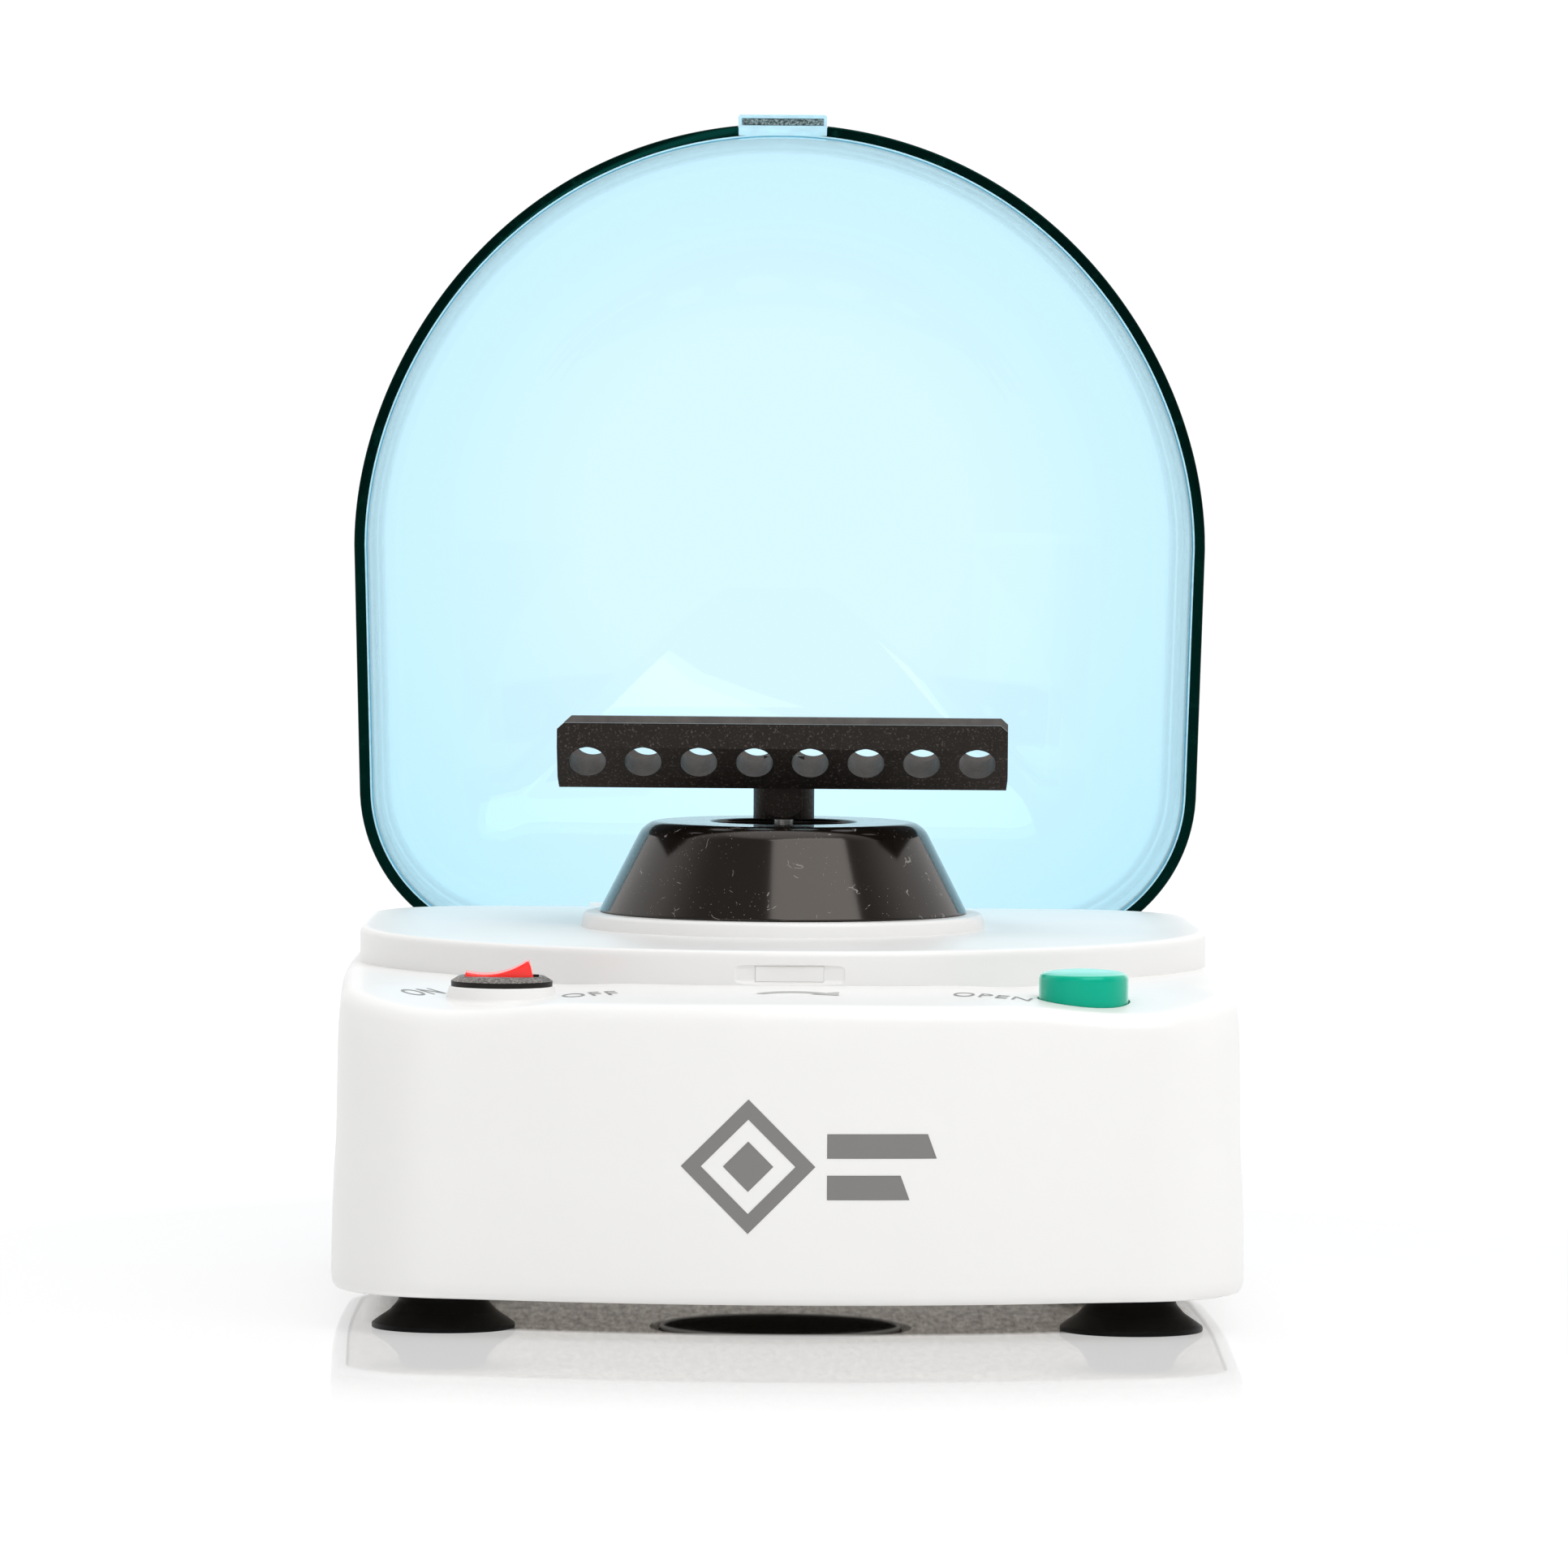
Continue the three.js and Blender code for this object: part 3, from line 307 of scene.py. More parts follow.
def fillet(profile, radii, per=5):
    """Rounds the corners of an open line of (r, z) by the radii given, one per point."""
    out = []
    for i, point in enumerate(profile):
        r = radii[i] if i < len(radii) else 0
        if r <= 0 or i in (0, len(profile) - 1):
            out.append(tuple(point))
            continue
        p = np.array(point, float)
        a, b = profile[i - 1] - p, profile[i + 1] - p
        la, lb = np.linalg.norm(a), np.linalg.norm(b)
        a, b = a / la, b / lb
        back = min(r / tan(half_angle(a, b)), 0.48 * la, 0.48 * lb)
        for k in range(per + 1):
            t = k / per
            q = (1 - t) ** 2 * (p + a * back) + 2 * t * (1 - t) * p + t * t * (p + b * back)
            out.append(tuple(q))
    return out


def prism(outline, w0, w1, axis="Z"):
    """A straight-sided solid: a flat outline of (u, v) carried from w0 to w1 along an axis."""
    order = {"X": (2, 0, 1), "Y": (0, 2, 1), "Z": (0, 1, 2)}[axis]
    n = len(outline)
    points = [[(u, v, w)[k] for k in order] for w in (w0, w1) for u, v in outline]
    faces = [tuple(range(n)), tuple(range(n, 2 * n))]
    faces += [(i, (i + 1) % n, (i + 1) % n + n, i + n) for i in range(n)]
    return solid(points, faces)


def box(x0, x1, y0, y1, z0, z1):
    return prism([(x0, y0), (x1, y0), (x1, y1), (x0, y1)], z0, z1)


def drum(x, y, r, z0, z1, steps=64):
    return prism(circle(x, y, r, steps), z0, z1)


def tube(points, radius):
    """A round wire along points, with flat ends."""
    sides = 12
    points = np.array(points, float)
    ahead = np.gradient(points, axis=0)
    ahead /= np.linalg.norm(ahead, axis=1)[:, None]
    side = np.cross(ahead[0], [0.31, 0.17, 0.93])
    a = np.arange(sides)[:, None] / sides * 2 * pi
    rings = []
    for p, d in zip(points, ahead):
        side = unit(side - d * (side @ d))
        rings.append(p + radius * (np.cos(a) * side + np.sin(a) * np.cross(d, side)))
    return loft(rings)


def evaluated(ob):
    bpy.context.view_layer.update()
    return bpy.data.meshes.new_from_object(ob.evaluated_get(bpy.context.evaluated_depsgraph_get()))


def settle(ob):
    """Applies the object's modifiers to its mesh."""
    mesh = evaluated(ob)
    ob.modifiers.clear()
    old, ob.data = ob.data, mesh
    bpy.data.meshes.remove(old)
    return ob


def combine(ob, how, *tools):
    for tool in tools:
        step = ob.modifiers.new("combine", "BOOLEAN")
        step.operation, step.object, step.solver = how, tool, "MANIFOLD"
    settle(ob)
    for tool in tools:
        bpy.data.meshes.remove(tool.data)
    return ob


def add(ob, *tools):
    return combine(ob, "UNION", *tools)


def cut(ob, *tools):
    return combine(ob, "DIFFERENCE", *tools)


def soften(ob, width, angle=35, segments=2):
    """Joins flat faces, then rounds the sharp edges."""
    with editing(ob, 1e-4) as b:
        bmesh.ops.dissolve_limit(b, angle_limit=radians(0.4), verts=b.verts, edges=b.edges)
    edge = ob.modifiers.new("edge", "BEVEL")
    edge.width, edge.segments = width, segments
    edge.limit_method, edge.angle_limit = "ANGLE", radians(angle)
    return settle(ob)


# ---- materials
class Tree:
    """A node tree, with short ways to add nodes and join them."""

    def __init__(self, tree):
        self.nodes, self.links = tree.nodes, tree.links

    def feed(self, socket, value):
        if isinstance(value, bpy.types.NodeSocket):
            self.links.new(value, socket)
        else:
            socket.default_value = (*value, 1) if socket.type == "RGBA" else value

    def node(self, kind, inputs={}, out=0, **settings):
        node = self.nodes.new("ShaderNode" + kind)
        for key, value in settings.items():
            setattr(node, key, value)
        for key, value in inputs.items():
            self.feed(node.inputs[key], value)
        return node.outputs[out]

    def maths(self, how, a, b=0.0):
        return self.node("Math", {0: a, 1: b}, operation=how)

    def vector(self, how, a, b=(0, 0, 0)):
        return self.node("VectorMath", {0: a, 1: b}, "Value" if how in ("DISTANCE", "LENGTH") else 0,
                         operation=how)

    def window(self, source, low, high, out_low=0.0, out_high=1.0, soft=False):
        """Carries the source's range low..high to out_low..out_high."""
        return self.node("MapRange", {"Value": source, "From Min": low, "From Max": high,
                                      "To Min": out_low, "To Max": out_high},
                         interpolation_type="SMOOTHSTEP" if soft else "LINEAR")

    def colours(self, factor, first, second):
        return self.node("Mix", {0: factor, 6: first, 7: second}, 2, data_type="RGBA")

    def shaders(self, factor, first, second):
        return self.node("MixShader", {0: factor, 1: first, 2: second})

    def ray(self, kind):
        return self.node("LightPath", {}, f"Is {kind} Ray")

    def axis(self, vector, name):
        return self.node("SeparateXYZ", {0: vector}, name)


class Look(Tree):
    """A Principled material with a few procedural layers in the object's own coordinates."""

    def __init__(self, name, colour, roughness, **sockets):
        self.material = bpy.data.materials.new(name)
        self.material.use_nodes = True
        super().__init__(self.material.node_tree)
        self.shader = self.nodes["Principled BSDF"]
        self.set(Base_Color=colour, Roughness=roughness, **sockets)
        self.place = self.node("TexCoord", {}, "Object")

    def set(self, **sockets):
        for key, value in sockets.items():
            self.feed(self.shader.inputs[key.replace("_", " ")], value)
        return self

    def surface(self, shader):
        self.feed(self.nodes["Material Output"].inputs["Surface"], shader)
        return self.material

    def noise(self, scale, detail=3.0, rough=0.55, stretch=None):
        place = self.node("Mapping", {"Scale": stretch, "Vector": self.place}) if stretch else self.place
        return self.node("TexNoise", {"Vector": place, "Scale": scale, "Detail": detail,
                                      "Roughness": rough}, "Fac")

    def cells(self, scale, feature="F1", place=None):
        return self.node("TexVoronoi", {"Scale": scale, "Vector": place or self.place}, "Distance",
                         feature=feature)

    def tone(self, factor, first, second):
        return self.set(Base_Color=self.colours(factor, first, second))

    def gloss(self, source, smooth, rough, low=0.3, high=0.7):
        return self.set(Roughness=self.window(source, low, high, smooth, rough))

    def bump(self, source, height, strength=1.0):
        return self.set(Normal=self.node("Bump", {"Strength": strength, "Distance": height,
                                                  "Height": source}))


def grain(name, colour, roughness, scale=2500, height=1e-5, spread=0.06, **sockets):
    """A moulded or machined surface: fine grain, with gloss that varies a little."""
    look = Look(name, colour, roughness, **sockets)
    look.bump(look.noise(scale), height)
    return look.gloss(look.noise(60, 4), roughness - spread, roughness + spread).material


def make_rotor_black(name="rotor_black", lift=0.0):
    look = Look(name, (0.005, 0.004, 0.0035), 0.45, Specular_IOR_Level=0.34,
                Specular_Tint=(1.0, 0.86, 0.78))
    rough, patch = look.noise(2300, 4, 0.75), look.window(look.noise(320, 4), 0.35, 0.7)
    # an added amount above 0 makes a paler copy of the black: painted light for faces that catch the lamps
    base = look.colours(patch, (0.0032 + lift, 0.0026 + lift, 0.0022 + lift),
                        (0.006 + 1.5 * lift, 0.005 + 1.45 * lift, 0.0045 + 1.4 * lift))
    look.tone(look.window(look.noise(2600, 3, 0.7), 0.57, 0.70), base, (0.085, 0.076, 0.070))
    return look.bump(rough, 9e-5, 0.9).gloss(rough, 0.36, 0.55).material


def make_lid_pale(name, colour, rough):
    """Where light collects in the clear plastic's edges it looks like a solid pale blue."""
    look = Look(name, colour, rough, Subsurface_Weight=0.2, Subsurface_Scale=0.001)
    streak = look.window(look.noise(300, 4, 0.6, (1.0, 1.0, 3.0)), 0.3, 0.7)
    return look.tone(streak, tuple(0.82 * c for c in colour), colour).material


def make_button(name, colour):
    """Green plastic that turns pale where it is seen at a low angle."""
    look = Look(name, colour, 0.24, Subsurface_Weight=0.08, Subsurface_Scale=0.001,
                Specular_IOR_Level=0.5, Specular_Tint=(0.35, 1.0, 0.93))
    look.bump(look.noise(1500, 3), 1e-5).gloss(look.noise(200, 4), 0.19, 0.28)
    sheen = look.window(look.node("LayerWeight", {}, "Facing"), 0.66, 0.90, 0.0, 0.9)
    return look.tone(sheen, colour, (0.34, 0.82, 0.71)).material


look = Look("white_plastic", (0.83, 0.825, 0.815), 0.34)
WHITE = look.bump(look.noise(2600, 2), 8e-6).gloss(look.noise(45, 5), 0.30, 0.40).material

# Polished black with fine specks, short fibres and a thin haze of dust.
base, lift, polish = (0.0035, 0.0022, 0.0015), (0.36, 0.34, 0.32), 0.12
look = Look("cowl_black", base, polish, Specular_Tint=(1.0, 0.91, 0.84))
small, large = look.window(look.cells(1500), 0.13, 0.07), look.window(look.cells(520), 0.05, 0.025)
specks = look.maths("MULTIPLY", look.maths("MAXIMUM", small, large),
                    look.window(look.noise(110, 3), 0.44, 0.58))
wobble = look.node("TexNoise", {"Scale": 260, "Vector": look.place}, "Color")
wobble = look.node("VectorMath", {0: wobble, "Scale": 0.006}, operation="SCALE")
line = look.cells(210, "DISTANCE_TO_EDGE", look.vector("ADD", look.place, wobble))
fibres = look.maths("MULTIPLY", look.window(line, 0.022, 0.009),
                    look.window(look.noise(360, 2), 0.61, 0.65))
haze = look.window(look.noise(30, 5, 0.6), 0.45, 0.8, 0.0, 0.012)
every = look.maths("ADD", look.maths("ADD", specks, fibres), haze)
every = look.maths("MULTIPLY", look.maths("MINIMUM", every, 1.0), 0.6)
COWL_BLACK = look.tone(every, base, lift).gloss(every, polish, 0.75, 0.0, 1.0).material

look = Look("plate_grey", (0.55, 0.51, 0.46), 0.5)
rough = look.noise(800, 5, 0.8, (1.0, 0.22, 1.0))
look.tone(look.window(rough, 0.36, 0.64), (0.23, 0.20, 0.17), (0.74, 0.68, 0.60))
PLATE_GREY = look.bump(rough, 5e-5, 0.6).material

LID_TINT, LID_DEEP, LID_SHADE = (0.66, 0.905, 1.0), (0.50, 0.835, 0.985), (0.76, 0.945, 1.0)
LID_MIDDLE = (0.0, 0.085, 0.122)

# Clear blue, deeper away from its middle as painted shade for the longer way light takes through the wall
# at the sides; plain coloured glass to shadow rays.
look = Look("lid_clear", LID_TINT, 0.012, IOR=1.30, Transmission_Weight=1.0,
            Specular_Tint=(0.72, 0.93, 1.0))
off = look.vector("DISTANCE", look.place, LID_MIDDLE)
look.tone(look.window(off, 0.040, 0.088), LID_TINT, LID_DEEP)
straight = look.maths("MAXIMUM", look.ray("Shadow"), look.ray("Diffuse"))
through = look.node("BsdfTransparent", {"Color": LID_SHADE})
LID_CLEAR = look.surface(look.shaders(straight, look.shader.outputs[0], through))

# painted shade: the clear rim's dark outer band, drawn as a solid dark green
look = Look("lid_edge", (0.001, 0.010, 0.0075), 0.09, Specular_IOR_Level=0.12,
            Specular_Tint=(0.05, 0.85, 0.7))
scuff = look.window(look.noise(420, 4, 0.7), 0.55, 0.8)
look.tone(scuff, (0.0002, 0.0045, 0.0032), (0.002, 0.016, 0.012))
LID_EDGE = look.gloss(scuff, 0.07, 0.25, 0, 1).material

look = Look("lid_rough", (0.05, 0.09, 0.09), 0.5)
rough = look.noise(2600, 3, 0.7)
look.tone(look.window(rough, 0.42, 0.62), (0.012, 0.03, 0.03), (0.28, 0.40, 0.42))
LID_ROUGH = look.bump(rough, 0.0001, 0.8).material

# painted light: a slight red glow stands for light passing through the red plastic
look = Look("rocker_red", (0.86, 0.016, 0.016), 0.16, Subsurface_Weight=0.35, Subsurface_Scale=0.002,
            Subsurface_Radius=(1.0, 0.12, 0.05), Coat_Weight=0.1, Emission_Color=(0.9, 0.03, 0.01),
            Emission_Strength=0.26)
ROCKER_RED = look.bump(look.noise(1800), 6e-6).material

look = Look("bezel_black", (0.022, 0.021, 0.019), 0.42)
speck = look.window(look.noise(2400, 3, 0.7), 0.42, 0.66)
look.tone(speck, (0.06, 0.054, 0.048), (0.30, 0.275, 0.25))
BEZEL_BLACK = look.bump(look.noise(3600, 3), 3e-5).material

look = Look("copper_winding", (0.55, 0.24, 0.10), 0.35, Metallic=0.8)
wave = look.node("TexWave", {"Scale": 420, "Vector": look.place}, "Fac", bands_direction="Z")
WINDING = look.tone(wave, (0.28, 0.11, 0.05), (0.66, 0.30, 0.13)).bump(wave, 0.0001).material

look = Look("board_green", (0.02, 0.16, 0.07), 0.35)
track = look.window(look.cells(260, "DISTANCE_TO_EDGE"), 0.05, 0.08)
BOARD = look.tone(track, (0.05, 0.26, 0.12), (0.015, 0.13, 0.06)).material

# the second copy is paler: painted light for the rotor's faces that look up
ROTOR_BLACK, ROTOR_LIT_TOP = make_rotor_black(), make_rotor_black("rotor_lit_top", 0.055)
LID_PALE = make_lid_pale("lid_pale", (0.50, 0.83, 0.97), 0.15)
LID_TEAL = make_lid_pale("lid_teal", (0.10, 0.42, 0.60), 0.12)
LID_BLOCK = make_lid_pale("lid_block", (0.52, 0.84, 0.97), 0.10)
BUTTON_GREEN = make_button("button_green", (0.0, 0.40, 0.25))
# painted highlight: a paler green for the button's top faces
BUTTON_TOP_SHEEN = make_button("button_top_sheen", (0.20, 0.64, 0.53))
PLASTIC_BLACK = grain("plastic_black", (0.020, 0.020, 0.019), 0.36, 3600, 3e-5, 0.08)
BEZEL_SIDE = grain("bezel_side", (0.010, 0.009, 0.008), 0.5, 3600, 3e-5, 0.08, Specular_IOR_Level=0.2)
BOSS_BLACK = grain("boss_black", (0.006, 0.005, 0.004), 0.08, 600, 4e-6, 0.03)
CAP_BLACK = grain("cap_black", (0.003, 0.0026, 0.002), 0.30, 600, 4e-6, Specular_IOR_Level=0.0)
# painted highlight: pale grey for the thin ring round the black cap's foot
CAP_HIGHLIGHT = grain("cap_highlight_ring", (0.24, 0.23, 0.21), 0.5, 900, 4e-6, 0.05)
RUBBER = grain("foot_rubber", (0.0035, 0.0033, 0.003), 0.45, 1800, 2e-5, 0.08,
               Specular_IOR_Level=0.12)
STEEL = grain("bright_steel", (0.62, 0.61, 0.60), 0.24, 3000, 6e-6, Metallic=1.0)
ZINC = grain("zinc_plate", (0.55, 0.56, 0.57), 0.34, 1600, spread=0.08, Metallic=1.0)
BRASS = grain("contact_brass", (0.72, 0.50, 0.18), 0.3, 1800, spread=0.05, Metallic=1.0)
FERRITE = grain("ferrite", (0.05, 0.05, 0.055), 0.6, 900, 3e-5, 0.1)
PRINT_GREY = grain("print_grey", (0.27, 0.265, 0.255), 0.5, 2500, 4e-6, 0.05)
PRINT_PALE = grain("print_pale", (0.46, 0.455, 0.44), 0.5, 2500, 4e-6, 0.05)
MARK_GREY = grain("mark_grey", (0.195, 0.19, 0.183), 0.45, 2500, 4e-6, 0.05)


# ---- pieces
def piece(ob, name, body, slot, looks, *nodes, sharp=32, which=None):
    """Names a finished shape, gives it its looks, and sets it in the row frame on its body."""
    kinds = [int(which(face)) for face in ob.data.polygons] if which else []
    ob.name = ob.data.name = name
    place(ob, shift(0, AXIS_Y, 0) @ Matrix.Scale(MM, 4))
    ob.data.materials.clear()
    for look in looks if isinstance(looks, list) else [looks]:
        ob.data.materials.append(look)
    for face, kind in zip(ob.data.polygons, kinds):
        face.material_index = kind
    ob.data.shade_smooth()
    ob.data.set_sharp_from_angle(angle=radians(sharp))
    ob.modifiers.new("even", "WEIGHTED_NORMAL").keep_sharp = True
    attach(ob, body)
    if nodes:
        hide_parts(*nodes)
    return ob


# ---- housing
def shell_outside():
    # (inset, height, share of the shoulder line's height added to it)
    stops = [(1.9, 6.0, 0), (0.8, 6.3, 0), (0.2, 7.2, 0), (0.0, 8.8, 0), (0.6, 28, 0),
             (1.1, -4.9, 1), (1.4, -2.7, 1), (2.1, -1.15, 1), (3.2, -0.3, 1), (4.9, 0, 1)]
    chord = [(d, z + k * 53) for d, z, k in stops]
    rows = smooth_rows(stops, [2, 3, 3, 6, 6, 3, 3, 3, 3], chord)
    rings = [shell_ring(d, lambda x, y: z + k * line_height(SHOULDER, x, y)) for d, z, k in rows]
    rim = rings[-1]
    centre = np.array([0, BODY_CENTRE_Y])
    wall = around(d_outline(**DECK, d=0.6), BODY_CENTRE_Y)
    out = rim[:, :2] - centre
    reach = np.linalg.norm(out, axis=1)
    want = np.minimum(np.linalg.norm(wall - centre, axis=1), reach - 1.2)
    foot = with_height(centre + out * (want / reach)[:, None], lambda x, y: line_height(LEDGE, x, y))
    for t in (0.12, 0.3, 0.5, 0.75, 1.0):
        ring = rim + (foot - rim) * t
        ring[:, 2] = rim[:, 2] + (foot[:, 2] - rim[:, 2]) * (t + 0.4 * t * (1 - t))
        rings.append(ring)
    return loft(rings)


def deck_outside():
    rows = [(0, 49), (0.03, 58.0), (0.1, 58.5), (0.32, 58.95), (0.68, 59.2), (1.3, 59.3)]
    return loft([d_ring(DECK, d, z) for d, z in smooth_rows(rows, [2] * 5)])


def hinge_lug(near, far, y0, y1, z0, z1, r, steps):
    """A block with a round end about the hinge pin, from near to far on the x axis."""
    x0, x1 = sorted((near, far))
    return add(prism([(y0, z0), (y1, z0), (y1, z1), (y0, z1)], x0, x1, "X"),
               prism(circle(HINGE_Y, HINGE_Z, r, steps), x0, x1, "X"))


def housing():
    plinth = lathe(fillet([(0, 55), (RING_R + 0.5, 55), (RING_R + 0.3, DECK_TOP + 0.9),
                           (RING_R, RING_TOP), (0, RING_TOP)], [0, 0, 0, 1.2, 0], 8), 220)
    collar = lathe(fillet([(0, 46), (10.6, 46), (10.3, 50.9), (8.7, 51.9), (8.25, 54.0), (0, 54.0)],
                          [0, 0, 0.8, 1.2, 0.25, 0]), 128, SWITCH_X, CONTROL_Y)
    shell = add(shell_outside(), deck_outside(), plinth, collar)
    low = loft([shell_ring(WALL, 5), shell_ring(WALL, 12), shell_ring(WALL + 0.9, 40),
                shell_ring(WALL + 3.2, 47.6)])
    under_deck = loft([d_ring(DECK, WALL, 44), d_ring(DECK, WALL, DECK_TOP - WALL)])
    shell = add(cut(shell, low, under_deck), *[hinge_lug(
        side * 26.5, side * 31.5, 60.7, 65.3, 47, HINGE_Z, 2.75, 48) for side in (1, -1)])
    posts = [drum(BUTTON_X, CONTROL_Y, 9.2, 42.4, 50.6), box(-5, 5, -54.6, -52.6, 49.4, 58.3)]
    posts += [drum(31 * cos(radians(a)), 31 * sin(radians(a)), 4.2, 51.2, 58.3, 32) for a in (90, 210, 330)]
    posts += [drum(x, y, 3.6, 8.5, 58.3 if hypot(x, y) < 66 else 51, 32) for x, y in PLATE_SCREWS]
    shell = add(shell, *posts)
    well = lathe([(0, 44.2), (7.3, 44.2), (7.3, 52.2), (7.3, 60), (0, 60)], 128, BUTTON_X, CONTROL_Y)
    return cut(
        shell, well, drum(SWITCH_X, CONTROL_Y, 7.5, 40, 60, 96),
        box(BUTTON_X - 2.8, BUTTON_X + 2.8, -71.4, -68.5, 41, 45),
        soften(box(-9.1, 9.1, -71, -67.4, 53.9, 57.2), 0.9, 40, 5),
        box(-LATCH_HALF - 0.012, LATCH_HALF + 0.012, -70, -64, 54.388, 56.912),
        drum(0, 0, MOTOR_HOLE_R, 50, 65, 96),
        prism(circle(HINGE_Y, HINGE_Z, PIN_R + 0.05, 32), -33, 33, "X"),
        prism(circle(INLET_X, INLET_Z, 5.8), 66, 76, "Y"))


SHELL = housing()
SHELL_TREE = BVHTree.FromObject(SHELL, bpy.context.evaluated_depsgraph_get())
piece(SHELL, "housing_shell", "base", "white_shell", WHITE, "upper_housing", sharp=34)


# ---- printed marks
PRINT_LIFT, PRINT_STEP = 0.05, 0.6


def flat_mesh(curve):
    """A flat mesh in place of a filled curve."""
    ob = link("flat", curve)
    mesh = evaluated(ob)
    bpy.data.objects.remove(ob)
    bpy.data.curves.remove(curve)
    return link("flat", mesh)


def flat_shape(outlines):
    """A flat mesh from closed outlines in (u, v); an outline inside another is a hole."""
    curve = bpy.data.curves.new("flat", "CURVE")
    curve.dimensions, curve.fill_mode = "2D", "BOTH"
    for outline in outlines:
        line = curve.splines.new("POLY")
        line.points.add(len(outline) - 1)
        for point, (u, v) in zip(line.points, outline):
            point.co = (u, v, 0, 1)
        line.use_cyclic_u = True
    return flat_mesh(curve)


def word(text, width, height):
    """Plain capitals of a given width and height, centred on (0, 0)."""
    curve = bpy.data.curves.new("word", "FONT")
    curve.body, curve.size, curve.space_character, curve.offset = text, 1.0, 1.15, 0.003
    ob = flat_mesh(curve)
    for k, size in ((0, width), (1, height)):
        low, high = (pick(v.co[k] for v in ob.data.vertices) for pick in (min, max))
        for v in ob.data.vertices:
            v.co[k] = (v.co[k] - (low + high) / 2) * (size / (high - low))
    return ob


def printed(ob, put, start, along, name, look):
    """Lays a flat shape on the shell: put maps (u, v) to a ray's start, along is its way."""
    with editing(ob, 1e-5) as b:
        for axis in (Vector((1, 0, 0)), Vector((0, 1, 0))):
            spread = [v.co.dot(axis) for v in b.verts]
            for at in np.arange(min(spread), max(spread), PRINT_STEP):
                bmesh.ops.bisect_plane(b, geom=b.verts[:] + b.edges[:] + b.faces[:],
                                       plane_co=axis * float(at), plane_no=axis)
        for v in b.verts:
            origin = Vector(put(v.co.x, v.co.y)) - Vector(along) * start
            hit, normal, _, _ = SHELL_TREE.ray_cast(origin, Vector(along))
            v.co = hit + normal * PRINT_LIFT
        bmesh.ops.recalc_face_normals(b, faces=b.faces)
    return piece(ob, name, "base", "dark_base", look)


def on_ledge(ob, x, y, degrees, name, look=PRINT_GREY):
    c, s = cos(radians(degrees)), sin(radians(degrees))
    return printed(ob, lambda u, v: (x + u * c - v * s, y + u * s + v * c, 0), 120, (0, 0, -1),
                   name, look)


def turning_arrow():
    """A flat arc with a head at its right end: the way the rotor turns."""
    angles = [radians(158 - 128 * i / 32) for i in range(33)]
    outer = [(6.3 * cos(a), 5.6 * sin(a) - 2.9) for a in angles]
    inner = [(4.9 * cos(a), 3.4 * sin(a) - 2.9) for a in angles]
    return flat_shape([outer + inner[::-1], [(2.6, -1.6), (7.0, -2.9), (7.2, 2.2)]])


def front_mark():
    """A plain generic mark: an open diamond with a solid one in it, and two bars."""
    x = -9.6
    diamonds = [[(x - r, 0.0), (x, -r), (x + r, 0.0), (x, r)] for r in (10.4, 7.3, 3.9)]
    bars = [[(2.6, 1.3), (19.6, 1.3), (18.2, 5.1), (2.6, 5.1)],
            [(2.6, -5.1), (15.4, -5.1), (14.0, -1.3), (2.6, -1.3)]]
    return flat_shape([*diamonds, *bars])


printed(front_mark(), lambda u, v: (2.9 + u, 0, 27.6 + v), 160, (0, 1, 0), "front_mark", MARK_GREY)
on_ledge(word("ON", 6.1, 5.2), -57.7, -71.4, 36, "label_on")
on_ledge(word("OFF", 8.8, 5.6), -31.3, -79.2, 10, "label_off")
on_ledge(turning_arrow(), 0.4, -80.0, 0, "label_turning", PRINT_PALE)
on_ledge(word("OPEN", 12.2, 5.4), 31.5, -78.5, -9, "label_open")


# ---- base, cap and feet
def bottom_plate():
    rows = [(3.6, 6.1), (3.1, 6.2), (2.75, 6.6), (2.7, 8.1)]
    plate = loft([shell_ring(d, z) for d, z in rows])
    for x, y in [(-61, -12), (-32, -12), (-61, 16), (-32, 16)]:
        plate = add(plate, drum(x, y, 2.2, 7, 14.7, 32))
    holes = [drum(0, 0, 21.4, 5, 10, 128)]
    holes += [drum(x, y, 5.0, 5, 10, 48) for x in (-FOOT_X, FOOT_X) for y in (FOOT_FRONT_Y, FOOT_REAR_Y)]
    for x, y in PLATE_SCREWS:
        holes += [drum(x, y, 1.9, 5, 10, 32), drum(x, y, 3.4, 5, 7.45, 48)]
    return cut(plate, *holes)


def motor_cap():
    line = [(0, 5.95), (13.2, 5.95), (13.8, 6.25), (14.6, 6.25), (15.2, 5.8), (18.6, 5.75), (20.0, 6.6),
            (20.0, 8.4), (23.4, 8.4), (23.4, 9.8), (20.0, 9.8), (20.0, 15), (18.4, 15), (18.4, 7.9),
            (0, 7.9)]
    return lathe(fillet(line, [0, 0.3, 0.2, 0.2, 0.3, 0.6, 0.6, 0, 0.3, 0.3, 0, 0.3, 0.3]), 160)


def cap_highlight_ring():
    """A thin bright ring round the cap's foot: a painted highlight on the black cap's edge."""
    line = [(19.15, 5.68), (19.4, 5.6), (19.7, 5.95), (19.4, 6.6), (19.0, 6.2)]
    return lathe(fillet(line, [0, 0.1, 0.1, 0, 0]), 160)


def suction_foot(x, y):
    line = [(0, 2.6), (5.6, 2.5), (8.4, 1.5), (9.9, 0.05), (FOOT_LIP_R, 0.0), (FOOT_LIP_R, 0.8),
            (10.3, 1.5), (8.5, 2.7), (7.2, 4.1), (6.6, 5.8), (4.7, 5.8), (4.7, 8.4), (6.3, 8.4),
            (6.3, 9.8), (0, 10.0)]
    return lathe(fillet(line, [0, 2, 2, 0.3, 0.3, 0.3, 1.0, 2.0, 2.0, 0.3, 0, 0, 0.3, 0.3]), 96, x, y)


